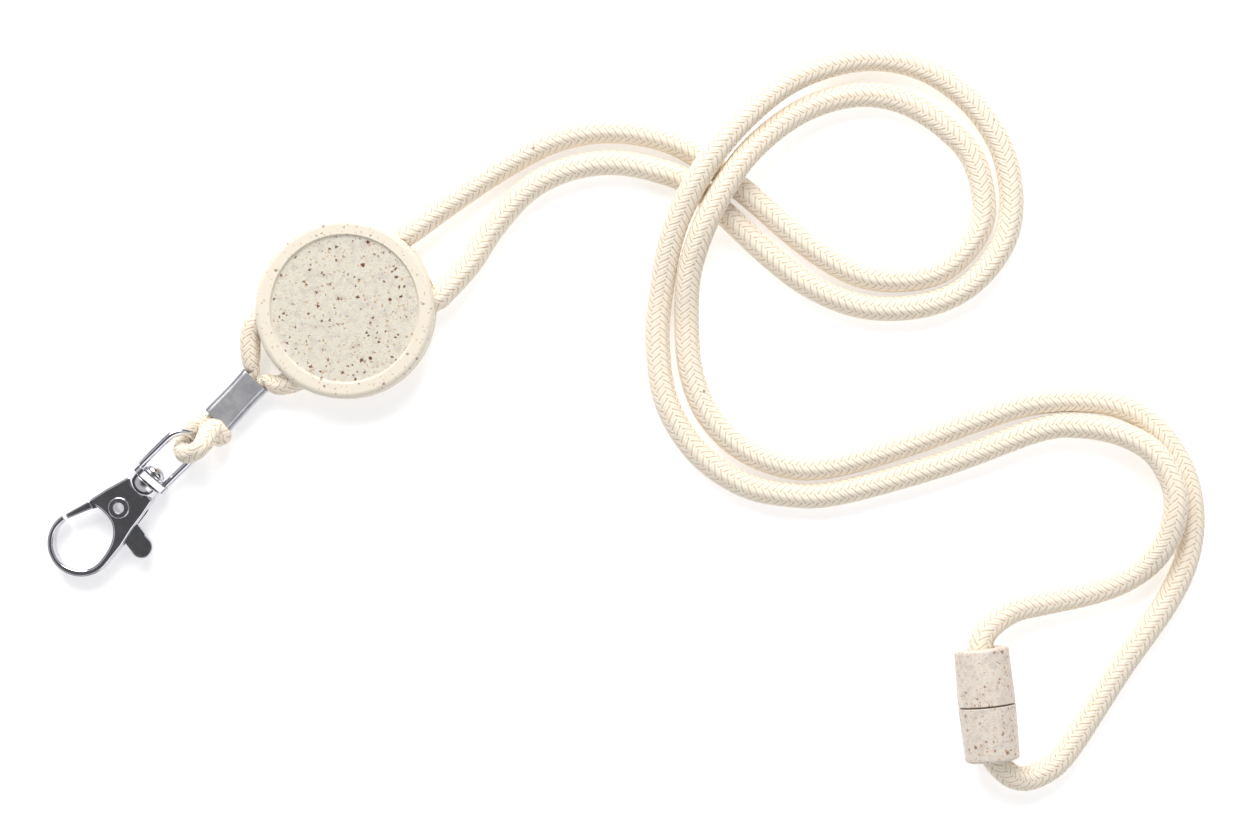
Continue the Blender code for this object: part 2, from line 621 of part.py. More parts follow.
def hook_loop_route():
    """Points and radii from the middle of one disc channel, round the bail's wire, to the other's."""
    c = cos(FERRULE_ANGLE)
    s = sin(FERRULE_ANGLE)
    fx, fy, fz = FERRULE_AT

    def in_ferrule(side, share):
        run = FERRULE_LENGTH * share
        off = side * STRAND_IN_FERRULE_OFFSET
        return (fx + c * run - s * off, fy + s * run + c * off, fz)

    full = CORD_D / 2
    squeezed = STRAND_IN_FERRULE_R
    route = [(in_channel(1, d), full) for d in (-GAP / 2, -8, -13)]
    route += [((-17.5, -2.4, 4.0), 2.3), ((-18.7, -5.2, 3.6), 2.1)]
    route += [((-18.8, -8.4, 3.2), 2.0), ((-18.6, -10.8, 2.9), 1.7)]
    route += [(in_ferrule(1, share), squeezed) for share in (0.54, 0.0, -0.54)]
    route += [((-28.6, -22.2, 2.3), 1.8)]
    up = Vector((0, 0, 1))
    ahead = Vector((cos(CLIP_YAW), sin(CLIP_YAW), 0))
    across = ahead.cross(up) * cos(LOOP_TWIST) - up * sin(LOOP_TWIST)
    forward = ahead * cos(LOOP_LIFT) + up * sin(LOOP_LIFT)
    steps = 6
    for step in range(steps + 1):
        a = pi * step / steps
        around = cos(a) * across + sin(a) * forward
        route.append((tuple(Vector(LOOP_CENTRE) + LOOP_R * around), STRAND_IN_LOOP_R))
    route += [((-26.0, -23.7, 5.3), 1.8), ((-24.6, -24.5, 3.7), 1.6)]
    route += [(in_ferrule(-1, share), squeezed) for share in (-0.54, 0.0, 0.54)]
    route += [((-15.9, -13.7, 2.9), 1.2), ((-14.2, -14.5, 3.3), 1.8), ((-12.6, -14.7, 3.7), 2.0)]
    route += [(in_channel(-1, d), full) for d in (-15, -8, -GAP / 2)]
    return route


def build_cords(cotton):
    step = TUBE_STEP * CORD_D
    bend_step = LEAD_STEP * CORD_D
    rim = channel_rim()
    inner_start = [in_channel(1, d) for d in (GAP / 2, rim / 2, rim)]
    run = inner_start[:-1] + smooth_curve([inner_start[-1], *resting(INNER_ROUTE)], step)
    cord_tube("cord_inner_run", run, CORD_D, cotton)
    gap_on = (run[-1] - run[-2]).normalized() * GAP * 2
    mouth = buckle_point(BUCKLE_LENGTH + GAP, PLUG_HOLE_R - CORD_D / 2 - 2 * GAP)
    inside = buckle_point(BUCKLE_LENGTH - END_WALL - GAP)
    plug_end = buckle_point(BUCKLE_LENGTH - END_WALL - GAP - CRIMP_LENGTH)
    lead = [run[-1] + gap_on, *resting(PLUG_LEAD_ROUTE), mouth, inside, plug_end]
    cord_tube("cord_plug_lead", smooth_curve(lead, bend_step), CORD_D, cotton)
    outer_start = [in_channel(-1, d) for d in (GAP / 2, rim / 2, rim)]
    outer = outer_start[:-1] + smooth_curve([outer_start[-1], *resting(OUTER_ROUTE)], step)
    socket_end = buckle_point(END_WALL + GAP + CRIMP_LENGTH)
    bend = [resting(OUTER_ROUTE)[-1], *resting(OUTER_BEND), buckle_point(-GAP), socket_end]
    cord_tube("cord_outer_run", outer + smooth_curve(bend, bend_step)[1:], CORD_D, cotton)
    loop = hook_loop_route()
    cord_tube("cord_hook_loop", [p for p, _ in loop], CORD_D, cotton, [r for _, r in loop])


def main():
    clear_scene()
    face = make_material("disc_face", (0.60, 0.54, 0.46), 0.55, 0)
    shell = make_material("disc_shell", (0.70, 0.63, 0.53), 0.5, 0)
    barrel = make_material("buckle_plastic", (0.62, 0.53, 0.44), 0.5, 0)
    tongue = make_material("tongue_plastic", (0.55, 0.48, 0.40), 0.5, 0)
    nickel = make_material("polished_nickel", (0.72, 0.72, 0.74), 0.15, 1)
    satin = make_material("satin_nickel", (0.62, 0.62, 0.66), 0.35, 1)
    steel = make_material("spring_steel", (0.5, 0.5, 0.52), 0.3, 1)
    cotton = make_material("braided_cotton", (0.78, 0.72, 0.63), 0.95, 0)

    build_disc(face, shell)
    build_ferrule(satin)
    build_bail(nickel)
    turn = (0, CLIP_PITCH, CLIP_YAW)
    hook_from = BAIL_LENGTH + BASE_THICKNESS
    swivel = make_empty("hook_swivel", clip_point(hook_from), turn)
    build_swivel(swivel, nickel)
    build_hook(swivel, nickel)
    gate_hinge = make_empty("gate_hinge", clip_point(hook_from + RIVET_AT[0], RIVET_AT[1]), turn)
    build_gate(gate_hinge, nickel)
    build_rivet_and_spring(swivel, nickel, steel)
    build_buckle(barrel, tongue, satin)
    build_cords(cotton)


main()
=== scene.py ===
"""The lanyard's looks: its braided cord, straw-filled plastic and nickel fittings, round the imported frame."""

import logging
from dataclasses import dataclass
from enum import Enum
from math import cos, pi, radians, sin, sqrt
from typing import Callable, Iterable, Sequence

import bpy
import numpy as np
from mathutils import Matrix, Vector


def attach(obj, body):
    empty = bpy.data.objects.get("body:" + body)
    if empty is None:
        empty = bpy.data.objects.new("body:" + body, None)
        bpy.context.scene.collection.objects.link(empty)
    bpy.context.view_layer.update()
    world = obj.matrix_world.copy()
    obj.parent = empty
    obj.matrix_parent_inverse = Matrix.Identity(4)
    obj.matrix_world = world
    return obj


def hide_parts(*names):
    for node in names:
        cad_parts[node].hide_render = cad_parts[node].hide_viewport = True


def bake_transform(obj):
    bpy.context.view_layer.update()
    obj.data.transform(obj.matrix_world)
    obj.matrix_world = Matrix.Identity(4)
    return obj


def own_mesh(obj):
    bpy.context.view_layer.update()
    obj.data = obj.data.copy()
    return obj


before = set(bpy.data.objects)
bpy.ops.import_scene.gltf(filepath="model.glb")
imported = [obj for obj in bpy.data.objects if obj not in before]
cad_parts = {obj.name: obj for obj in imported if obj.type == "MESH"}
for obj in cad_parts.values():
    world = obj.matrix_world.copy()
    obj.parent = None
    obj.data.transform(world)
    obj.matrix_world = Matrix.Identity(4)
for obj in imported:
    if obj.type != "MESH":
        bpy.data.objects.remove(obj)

log = logging.getLogger("lanyard")
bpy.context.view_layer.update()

Point = tuple[float, ...]
Colour = tuple[float, float, float]

MM = 0.001
SHARP_FROM = radians(40)      # the least angle between faces that is shaded as an edge
ROOT_BODY = "lanyard"
PLUG_BODY = "plug"
HOOK_BODY = "hook"

# Cord
CORD_D = 0.0048
CORD_REST_Z = 0.00246
GAP = 0.0003

# Where the cord's two channels run through the disc
CHANNEL_ANGLE = radians(30)
CHANNEL_OFFSET = 0.0069
CHANNEL_Z = 0.0040
DISC_R = 0.0175

# The buckle's axis, from the top of its socket
BUCKLE_TOP = (0.1239, -0.0661)
BUCKLE_DOWN = (0.104, -0.9946)
BUCKLE_R = 0.00565
BUCKLE_LENGTH = 0.0220
BUCKLE_END_WALL = 0.0018
CRIMP_LENGTH = 0.0028
PLUG_HOLE_R = 0.0037

# The crimped ferrule's middle and its angle on the table
FERRULE_AT = Vector((-0.0215, -0.0177, 0.0027))
FERRULE_ANGLE = radians(46.8)
FERRULE_LENGTH = 0.0110
STRAND_OFFSET = 0.0012

# The loop of cord that the bail swings in
LOOP_CENTRE = Vector((-0.0291, -0.0253, 0.00525))
LOOP_R = 0.0038
LOOP_TWIST = radians(59)
LOOP_LIFT = radians(-12)
LOOP_STEPS = 6
LOOP_STRAND_R = 0.0018
FERRULE_STRAND_R = 0.00105    # of each strand, where the ferrule squeezes it

# The clip hangs from its bail's crown. The hook's own frame starts at the bail's base plate.
CROWN_AT = Vector((-0.0299, -0.0247, 0.0046))
CLIP_YAW = radians(-135.84)
CLIP_PITCH = radians(4.14)
HOOK_FROM = 0.0124

# The routes' own points, along the cord as it lies. The height is left out where it rests.
INNER_ROUTE: list[Point] = [
    (0.0134, 0.0158, 0.0038), (0.0201, 0.0208, 0.0030), (0.0299, 0.0275), (0.0397, 0.0328),
    (0.0496, 0.0350), (0.0594, 0.0341), (0.0676, 0.0309), (0.0778, 0.0232), (0.0911, 0.0120),
    (0.1012, 0.0066), (0.1117, 0.0062), (0.1192, 0.0097), (0.1246, 0.0180), (0.1230, 0.0289),
    (0.1174, 0.0356), (0.1093, 0.0406), (0.1007, 0.0421, 0.0026), (0.0919, 0.0401, 0.0031),
    (0.0843, 0.0357, 0.0046), (0.0769, 0.0284, 0.0070), (0.0707, 0.0179, 0.0075), (0.0671, 0.0074, 0.0050),
    (0.0666, -0.0025, 0.0029), (0.0674, -0.0119), (0.0706, -0.0203), (0.0773, -0.0271), (0.0862, -0.0306),
    (0.0952, -0.0305), (0.1098, -0.0264), (0.1243, -0.0212), (0.1341, -0.0183), (0.1437, -0.0177),
    (0.1524, -0.0192), (0.1590, -0.0240), (0.1638, -0.0315), (0.1656, -0.0399), (0.1646, -0.0484),
    (0.1605, -0.0574), (0.1515, -0.0703), (0.1426, -0.0842),
]
PLUG_LEAD_ROUTE: list[Point] = [(0.1384, -0.0893), (0.1336, -0.0917, 0.0027), (0.1299, -0.0911, 0.0040)]
OUTER_ROUTE: list[Point] = [
    (0.0181, 0.0024, 0.0039), (0.0240, 0.0089, 0.0030), (0.0287, 0.0161), (0.0352, 0.0233),
    (0.0427, 0.0273), (0.0515, 0.0288), (0.0604, 0.0274), (0.0684, 0.0238), (0.0826, 0.0108),
    (0.0907, 0.0047), (0.0994, 0.0010), (0.1079, 0.0002), (0.1167, 0.0019), (0.1239, 0.0065),
    (0.1291, 0.0142), (0.1302, 0.0226), (0.1280, 0.0323), (0.1221, 0.0408), (0.1135, 0.0469),
    (0.1038, 0.0491, 0.0026), (0.0942, 0.0476, 0.0036), (0.0850, 0.0433, 0.0056), (0.0760, 0.0353, 0.0078),
    (0.0690, 0.0260, 0.0080), (0.0639, 0.0151, 0.0058), (0.0615, 0.0031, 0.0032), (0.0609, -0.0070),
    (0.0627, -0.0183), (0.0686, -0.0278), (0.0771, -0.0340), (0.0861, -0.0362), (0.0962, -0.0359),
    (0.1171, -0.0302), (0.1353, -0.0236, 0.0026), (0.1435, -0.0228, 0.0034), (0.1516, -0.0244, 0.0048),
    (0.1577, -0.0281, 0.0061), (0.1612, -0.0342, 0.0066), (0.1616, -0.0397, 0.0065),
    (0.1598, -0.0458, 0.0052), (0.1553, -0.0511, 0.0032), (0.1479, -0.0548), (0.1365, -0.0574, 0.0029),
]
OUTER_BEND: list[Point] = [(0.1313, -0.0585, 0.0035), (0.1273, -0.0606, 0.0046), (0.1246, -0.0632, 0.0054)]


class Side(Enum):
    """Which of the disc's two cord channels."""

    INNER = 1
    OUTER = -1


def in_channel(side: Side, distance: float) -> Vector:
    """A point on a channel's centre line.

    Args:
        side: the channel.
        distance: how far along it from its middle, towards the long runs.

    Returns:
        The point, in metres.
    """
    c = cos(CHANNEL_ANGLE)
    s = sin(CHANNEL_ANGLE)
    offset = side.value * CHANNEL_OFFSET
    return Vector((c * distance - s * offset, s * distance + c * offset, CHANNEL_Z))


def buckle_point(distance: float, right: float = 0.0) -> Vector:
    """A point beside the buckle's axis.

    Args:
        distance: how far down the axis from the top of the socket.
        right: how far to the right of it.

    Returns:
        The point, in metres.
    """
    dx, dy = BUCKLE_DOWN
    x = BUCKLE_TOP[0] + dx * distance - dy * right
    y = BUCKLE_TOP[1] + dy * distance + dx * right
    return Vector((x, y, BUCKLE_R))


def resting(route: Iterable[Point]) -> list[Vector]:
    """The route as vectors, at the resting height where it gives none."""
    return [Vector(p if len(p) == 3 else (*p, CORD_REST_Z)) for p in route]


def smooth_curve(points: Sequence[Vector], step: float) -> list[Vector]:
    """Even points on the smooth curve through a route.

    Args:
        points: the route's own points.
        step: the distance between the points returned.

    Returns:
        The points, from the route's first to its last.
    """
    last = len(points) - 1
    fine: list[Vector] = []
    parts = 20
    for i in range(last):
        p0, p1, p2, p3 = (points[min(max(i + k, 0), last)] for k in (-1, 0, 1, 2))
        for k in range(parts):
            t = k / parts
            bend = 2 * p0 - 5 * p1 + 4 * p2 - p3
            swing = 3 * p1 - p0 - 3 * p2 + p3
            fine.append(0.5 * (2 * p1 + (p2 - p0) * t + bend * t**2 + swing * t**3))
    fine.append(points[last])
    line = np.array([tuple(p) for p in fine])
    gone = np.concatenate([[0.0], np.cumsum(np.linalg.norm(np.diff(line, axis=0), axis=1))])
    count = max(round(gone[-1] / step), 2)
    goals = np.linspace(0.0, gone[-1], count + 1)
    return [Vector([float(np.interp(g, gone, line[:, k])) for k in range(line.shape[1])]) for g in goals]


class NodeSheet:
    """A material's node tree, written as sums."""

    def __init__(self, name: str) -> None:
        """Starts a material with one Principled shader.

        Args:
            name: the material's name.
        """
        self.material = bpy.data.materials.new(name)
        self.material.use_nodes = True
        self.tree = self.material.node_tree
        self.shader = self.tree.nodes["Principled BSDF"]

    def put(self, socket: bpy.types.NodeSocket, value: object) -> None:
        """Links another socket to this one, or sets its value.

        Args:
            socket: the input.
            value: the other socket, or the value. A colour needs no fourth number.
        """
        if isinstance(value, bpy.types.NodeSocket):
            self.tree.links.new(value, socket)
        elif isinstance(value, tuple) and len(value) == 3 and socket.type == "RGBA":
            socket.default_value = (*value, 1.0)
        else:
            socket.default_value = value

    def node(self, kind: str, **inputs: object) -> bpy.types.ShaderNode:
        """A new node with its inputs set.

        Args:
            kind: its type, without the ShaderNode that all of them start with.
            inputs: its inputs' values or sockets, named with underscores for spaces.

        Returns:
            The node.
        """
        node = self.tree.nodes.new("ShaderNode" + kind)
        self.fill(node, inputs)
        return node

    def fill(self, node: bpy.types.ShaderNode, inputs: dict[str, object]) -> None:
        """Sets a node's inputs, named with underscores for spaces."""
        for name, value in inputs.items():
            self.put(node.inputs[name.replace("_", " ")], value)

    def math(self, operation: str, *values: object) -> bpy.types.NodeSocket:
        """One sum on numbers.

        Args:
            operation: the Math node's operation.
            values: its inputs, each a number or a socket.

        Returns:
            The result's socket.
        """
        node = self.node("Math")
        node.operation = operation
        for socket, value in zip(node.inputs, values):
            self.put(socket, value)
        return node.outputs[0]

    def times(self, value: object, by: object) -> bpy.types.NodeSocket:
        """The product of two numbers."""
        return self.math("MULTIPLY", value, by)

    def either(self, first: object, a: object, b: object) -> bpy.types.NodeSocket:
        """The number a where first is 1, and b where it is 0."""
        return self.math("ADD", self.times(a, first), self.times(b, self.math("SUBTRACT", 1.0, first)))

    def mix(self, share: object, low: object, high: object) -> bpy.types.NodeSocket:
        """Mixes two colours.

        Args:
            share: how much of the second, from 0 to 1.
            low: the first colour.
            high: the second colour.

        Returns:
            The mixed colour's socket.
        """
        node = self.node("Mix")
        node.data_type = "RGBA"
        for socket, value in zip((node.inputs[0], node.inputs[6], node.inputs[7]), (share, low, high)):
            self.put(socket, value)
        return node.outputs[2]

    def between(self, value: object, low: float, high: float) -> bpy.types.NodeSocket:
        """A smooth step.

        Args:
            value: the number that steps.
            low: where the step starts, at 0.
            high: where it ends, at 1.

        Returns:
            The step's socket.
        """
        node = self.node("MapRange", Value=value, From_Min=low, From_Max=high)
        node.interpolation_type = "SMOOTHSTEP"
        return node.outputs[0]

    def place(self) -> bpy.types.NodeSocket:
        """The point on the object, in metres."""
        return self.node("TexCoord").outputs["Object"]

    def stretched(self, vector: object, scale: Point, turn: Point = (0, 0, 0)) -> bpy.types.NodeSocket:
        """A place that is turned and scaled, for a pattern with a direction.

        Args:
            vector: the place.
            scale: the scale on each axis.
            turn: the turn about each axis, in radians.

        Returns:
            The new place's socket.
        """
        return self.node("Mapping", Vector=vector, Scale=scale, Rotation=turn).outputs[0]

    def noise(self, vector: object, scale: float, detail: float = 2.0) -> bpy.types.NodeSocket:
        """Soft noise from about 0.3 to 0.7.

        Args:
            vector: where it is read.
            scale: patches to the metre.
            detail: how many finer layers it has.

        Returns:
            The noise's socket.
        """
        return self.node("TexNoise", Vector=vector, Scale=scale, Detail=detail).outputs[0]

    def wobbled(self, vector: object, scale: float, reach: float) -> bpy.types.NodeSocket:
        """A place pushed about by noise, for ragged edges.

        Args:
            vector: the place.
            scale: the noise's patches to the metre.
            reach: how far it is pushed, in metres.

        Returns:
            The new place's socket.
        """
        noise = self.node("TexNoise", Vector=vector, Scale=scale)
        push = self.node("VectorMath")
        push.operation = "MULTIPLY_ADD"
        self.put(push.inputs[0], noise.outputs["Color"])
        push.inputs[1].default_value = (2 * reach, 2 * reach, 2 * reach)
        self.put(push.inputs[2], vector)
        return push.outputs[0]

    def cells(self, vector: object, scale: float, flat: bool = False) -> tuple[object, object]:
        """Scattered points.

        Args:
            vector: where they are read.
            scale: cells to the metre.
            flat: whether they lie on a flat face, with the height left out.

        Returns:
            The distance to the nearest point, in cells, and that cell's own random colour.
        """
        node = self.node("TexVoronoi", Vector=vector, Scale=scale)
        node.voronoi_dimensions = "2D" if flat else "3D"
        return node.outputs["Distance"], node.outputs["Color"]

    def split(self, vector: object) -> Sequence[bpy.types.NodeSocket]:
        """The three numbers of a vector or a colour."""
        return self.node("SeparateXYZ", Vector=vector).outputs

    def join(self, x: object, y: object, z: object = 0.0) -> bpy.types.NodeSocket:
        """A vector from three numbers."""
        return self.node("CombineXYZ", X=x, Y=y, Z=z).outputs[0]

    def bump(self, height: object, depth: float, strength: float = 1.0, under: object = None) -> object:
        """Relief that the mesh is too coarse to hold.

        Args:
            height: the relief, from 0 to 1.
            depth: how deep 1 is, in metres.
            strength: how strongly it shows.
            under: another relief that it lies on.

        Returns:
            The normal's socket.
        """
        node = self.node("Bump", Height=height, Distance=depth, Strength=strength)
        if under is not None:
            self.put(node.inputs["Normal"], under)
        return node.outputs[0]

    def surface(self, **inputs: object) -> bpy.types.Material:
        """Sets the shader's inputs, named with underscores for spaces.

        Args:
            inputs: the values or sockets.

        Returns:
            The finished material.
        """
        self.fill(self.shader, inputs)
        return self.material


@dataclass(frozen=True)
class RoundBraid:
    """A round braid whose yarns pass over two and under two, which makes columns of chevrons along it."""

    yarns: int = 8            # each way round
    pitch: float = 0.0015     # from one chevron to the next
    swell: float = 0.00012    # how far a yarn's back stands up
    weave: float = 0.00013    # how far a yarn rises and dives
    ends: int = 2             # threads side by side in a yarn
    map_name: str = "braid"

    def relief(self, around: np.ndarray, along: np.ndarray) -> np.ndarray:
        """How far the surface stands from its mean radius.

        Args:
            around: places round the cord, in yarns.
            along: places along it, in pitches.

        Returns:
            The heights, in metres.
        """
        rise = self.weave * np.cos(pi * around - pi / 4)
        heights = []
        for yarn_place, lift in ((around - along, rise), (around + along, -rise)):
            off = np.abs(yarn_place - np.round(yarn_place)) * 2
            heights.append(lift + self.swell * np.sqrt(np.clip(1 - off**2, 0, 1)))
        return np.maximum(*heights) - self.swell - 0.5 * self.weave


@dataclass(frozen=True)
class CottonFinish:
    """Natural cotton: ivory yarns, with painted tan shade in the creases between them, a painted highlight on
    their crests and a soft halo.
    """

    braid: RoundBraid = RoundBraid()
    # The crest colour is a painted highlight on the yarns' tops, and the two crease colours are painted shade
    # in the creases between yarns and threads; the body colour is the cotton's own.
    painted_crest_highlight: Colour = (0.96, 0.875, 0.745)
    body: Colour = (0.89, 0.765, 0.595)
    painted_crease_shade: Colour = (0.68, 0.51, 0.32)
    cool_painted_crease_shade: Colour = (0.58, 0.51, 0.43)
    fleck: Colour = (0.24, 0.15, 0.09)
    thread_depth: float = 0.00010
    fibres: tuple[float, float] = (11.0, 1.8)     # how fine they are across a yarn and along it
    to_body: tuple[float, float] = (0.16, 0.52)   # the levels where the painted crease shade turns into the yarn's body colour
    to_crest: tuple[float, float] = (0.48, 0.88)
    fleck_cells: float = 300.0                    # to the metre
    fleck_above: float = 0.975                    # the random number that a cell with a fleck has to pass
    fleck_size: float = 0.09                      # in cells

    def material(self, name: str) -> bpy.types.Material:
        """Makes the finish.

        Args:
            name: the material's name.

        Returns:
            The material, which reads the piece's braid map.
        """
        sheet = NodeSheet(name)
        uv = sheet.node("UVMap")
        uv.uv_map = self.braid.map_name
        around, along, _ = sheet.split(uv.outputs[0])
        rise = sheet.math("COSINE", sheet.math("SUBTRACT", sheet.math("MULTIPLY", around, pi), pi / 4))
        over = sheet.math("GREATER_THAN", rise, 0.0)
        place_a = sheet.math("SUBTRACT", around, along)
        place_b = sheet.math("ADD", around, along)
        back_a, thread_a = self.yarn(sheet, place_a)
        back_b, thread_b = self.yarn(sheet, place_b)
        back = sheet.either(over, back_a, back_b)
        thread = sheet.either(over, thread_a, thread_b)
        across = sheet.either(over, place_a, place_b)
        lengthways = sheet.either(over, place_b, place_a)
        lift = sheet.math("ABSOLUTE", rise)
        fine, long = self.fibres
        streak = sheet.join(sheet.times(across, fine), sheet.times(lengthways, long), over)
        fibre = sheet.noise(streak, 1.0, 3.0)
        level = sheet.math("ADD", sheet.times(back, 0.44), sheet.times(sheet.math("SQRT", lift), 0.18))
        level = sheet.math("ADD", level, sheet.times(thread, 0.38))
        level = sheet.math("ADD", level, sheet.times(sheet.math("SUBTRACT", fibre, 0.5), 1.05))
        place = sheet.place()
        warmth = sheet.between(sheet.noise(place, 210.0), 0.35, 0.68)
        # Painted shade and highlight: the low levels, in the creases, take the tan crease colours, and the high
        # levels, on the crests, take the lighter crest colour.
        painted_crease_shade = sheet.mix(warmth, self.painted_crease_shade, self.cool_painted_crease_shade)
        colour = sheet.mix(sheet.between(level, *self.to_body), painted_crease_shade, self.body)
        colour = sheet.mix(sheet.between(level, *self.to_crest), colour, self.painted_crest_highlight)
        distance, own = sheet.cells(place, self.fleck_cells)
        rare = sheet.math("GREATER_THAN", sheet.split(own)[0], self.fleck_above)
        fleck = sheet.math("MULTIPLY", rare, sheet.math("LESS_THAN", distance, self.fleck_size))
        colour = sheet.mix(sheet.times(fleck, 0.7), colour, self.fleck)
        threads = sheet.math("ADD", sheet.times(thread, 0.5), sheet.times(fibre, 0.5))
        normal = sheet.bump(threads, self.thread_depth, 0.9, sheet.bump(back, self.braid.swell, 0.55))
        return sheet.surface(
            Base_Color=colour, Roughness=0.92, Normal=normal, Sheen_Weight=0.25, Sheen_Roughness=0.5,
            Specular_IOR_Level=0.15,
        )

    def yarn(self, sheet: NodeSheet, place: object) -> tuple[object, object]:
        """The shape across one set of yarns.

        Args:
            sheet: the finish's node tree.
            place: the place across the yarns, which is whole on a yarn's middle.

        Returns:
            The roundness of the yarn's back and that of its threads.
        """
        off = sheet.times(sheet.math("PINGPONG", place, 0.5), 2.0)
        back = sheet.math("SUBTRACT", 1.0, sheet.math("POWER", off, 2.4))
        split = sheet.math("PINGPONG", sheet.times(sheet.math("ADD", place, 0.5), self.braid.ends), 0.5)
        return back, sheet.math("SINE", sheet.times(split, pi))


def shown(piece: bpy.types.Object, material: bpy.types.Material, body: str | None) -> None:
    """Dresses a new piece and makes it ride.

    Args:
        piece: the piece.
        material: its finish.
        body: the body that it moves with, or None for a piece that runs between two bodies and is put on
            neither.
    """
    piece.data.materials.clear()
    piece.data.materials.append(material)
    if body:
        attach(piece, body)
    log.info("%s: %d faces, on %s", piece.name, len(piece.data.polygons), body or "two bodies")


# How ragged a speck's edge is: the noise that pushes it about, and how far
RAGGED_SCALE = 3400.0
RAGGED_REACH = 0.00055

# How far round the first layer of specks is turned, and each one after it from the one before, in radians
FIRST_TURN = 0.45
LAYER_TURN = 0.83


@dataclass(frozen=True)
class StrawPlastic:
    """Cream plastic filled with ground straw: brown specks, short fibres and faint cool clouds."""

    name: str
    base: Colour = (0.80, 0.71, 0.56)
    grain: Colour = (0.62, 0.53, 0.39)
    speck: Colour = (0.16, 0.055, 0.03)
    straw: Colour = (0.50, 0.30, 0.15)
    cloud: Colour = (0.50, 0.44, 0.42)
    specks: float = 1.0       # how many there are
    spread: float = 1.0       # how large they are
    clouds: float = 0.5
    cell: float = 1000.0      # cells to the metre
    flat: bool = False
    roughness: float = 0.42

    def dots(self, sheet: NodeSheet, place: object, scale: float, share: float, size: float) -> object:
        """Scattered specks.

        Args:
            sheet: the finish's node tree.
            place: where they are read.
            scale: cells to the metre.
            share: the share of cells that hold one.
            size: the largest speck's radius, in cells.

        Returns:
            The specks' strength, from 0 to 1.
        """
        distance, own = sheet.cells(place, scale, self.flat)
        random = sheet.split(own)
        held = sheet.math("LESS_THAN", random[0], share)
        reach = sheet.math("MULTIPLY_ADD", random[1], 0.6 * size, 0.4 * size)
        edge = sheet.math("SUBTRACT", 1.0, sheet.between(sheet.math("DIVIDE", distance, reach), 0.55, 1.0))
        return sheet.times(edge, held)

    def layered(self, sheet: NodeSheet) -> tuple[object, object]:
        """The plastic's colour and its fine relief.

        Args:
            sheet: the finish's node tree.

        Returns:
            The colour and the relief.
        """
        place = sheet.place()
        ragged = sheet.wobbled(place, RAGGED_SCALE, RAGGED_REACH)
        grain = sheet.noise(place, 3200.0, 3.0)
        cloud = sheet.times(sheet.between(sheet.noise(place, 700.0, 4.0), 0.44, 0.72), self.clouds)
        colour = sheet.mix(cloud, self.base, self.cloud)
        colour = sheet.mix(sheet.times(sheet.between(grain, 0.40, 0.66), 0.45), colour, self.grain)
        # Each layer's cells to the metre, share of cells held, size in cells, strength and colour
        layers = (
            (2.0 * self.cell, 0.30, 0.26, 0.65, self.straw),
            (self.cell, 0.26, 0.24, 0.85, self.straw),
            (0.85 * self.cell, 0.16, 0.22, 0.95, self.speck),
            (0.50 * self.cell, 0.20, 0.18, 1.00, self.speck),
        )
        # Each layer is turned, so that no two line up
        for turn, (scale, share, size, strength, ink) in enumerate(layers):
            turned = sheet.stretched(ragged, (1, 1, 1), (0, 0, FIRST_TURN + LAYER_TURN * turn))
            marks = self.dots(sheet, turned, scale, share * self.specks, size * self.spread)
            colour = sheet.mix(sheet.times(marks, strength), colour, ink)
        return colour, grain

    def material(self) -> bpy.types.Material:
        """Makes the finish.

        Returns:
            The material.
        """
        sheet = NodeSheet(self.name)
        colour, relief = self.layered(sheet)
        return sheet.surface(
            Base_Color=colour, Roughness=self.roughness, Specular_IOR_Level=0.4,
            Normal=sheet.bump(relief, 0.00003, 0.5),
        )


@dataclass(frozen=True)
class DiscPlastic(StrawPlastic):
    """The same plastic on the disc, with a cleaner moulded rim round a greyer, speckled recess."""

    recess_radius: float = 0.0142
    rim_base: Colour = (0.84, 0.765, 0.64)
    rim_fade: float = 0.0001

    def material(self) -> bpy.types.Material:
        """Makes the finish, which changes at the recess's edge.

        Returns:
            The material.
        """
        sheet = NodeSheet(self.name)
        place = sheet.place()
        x, y, _ = sheet.split(place)
        away = sheet.math("SQRT", sheet.math("ADD", sheet.times(x, x), sheet.times(y, y)))
        rim = sheet.between(away, self.recess_radius - self.rim_fade, self.recess_radius + self.rim_fade)
        colour, relief = self.layered(sheet)
        clean = sheet.mix(sheet.times(sheet.between(relief, 0.38, 0.68), 0.35), self.rim_base, self.base)
        ragged = sheet.wobbled(place, RAGGED_SCALE, RAGGED_REACH)
        for scale, share, size, ink in ((1300.0, 0.26, 0.30, self.straw), (700.0, 0.14, 0.24, self.speck)):
            turned = sheet.stretched(ragged, (1, 1, 1), (0, 0, 900.0 / scale))
            flecks = self.dots(sheet, turned, scale, share, size)
            clean = sheet.mix(sheet.times(flecks, 0.65), clean, ink)
        return sheet.surface(
            Base_Color=sheet.mix(rim, colour, clean), Roughness=self.roughness, Specular_IOR_Level=0.4,
            Normal=sheet.bump(relief, 0.00003, 0.45),
        )


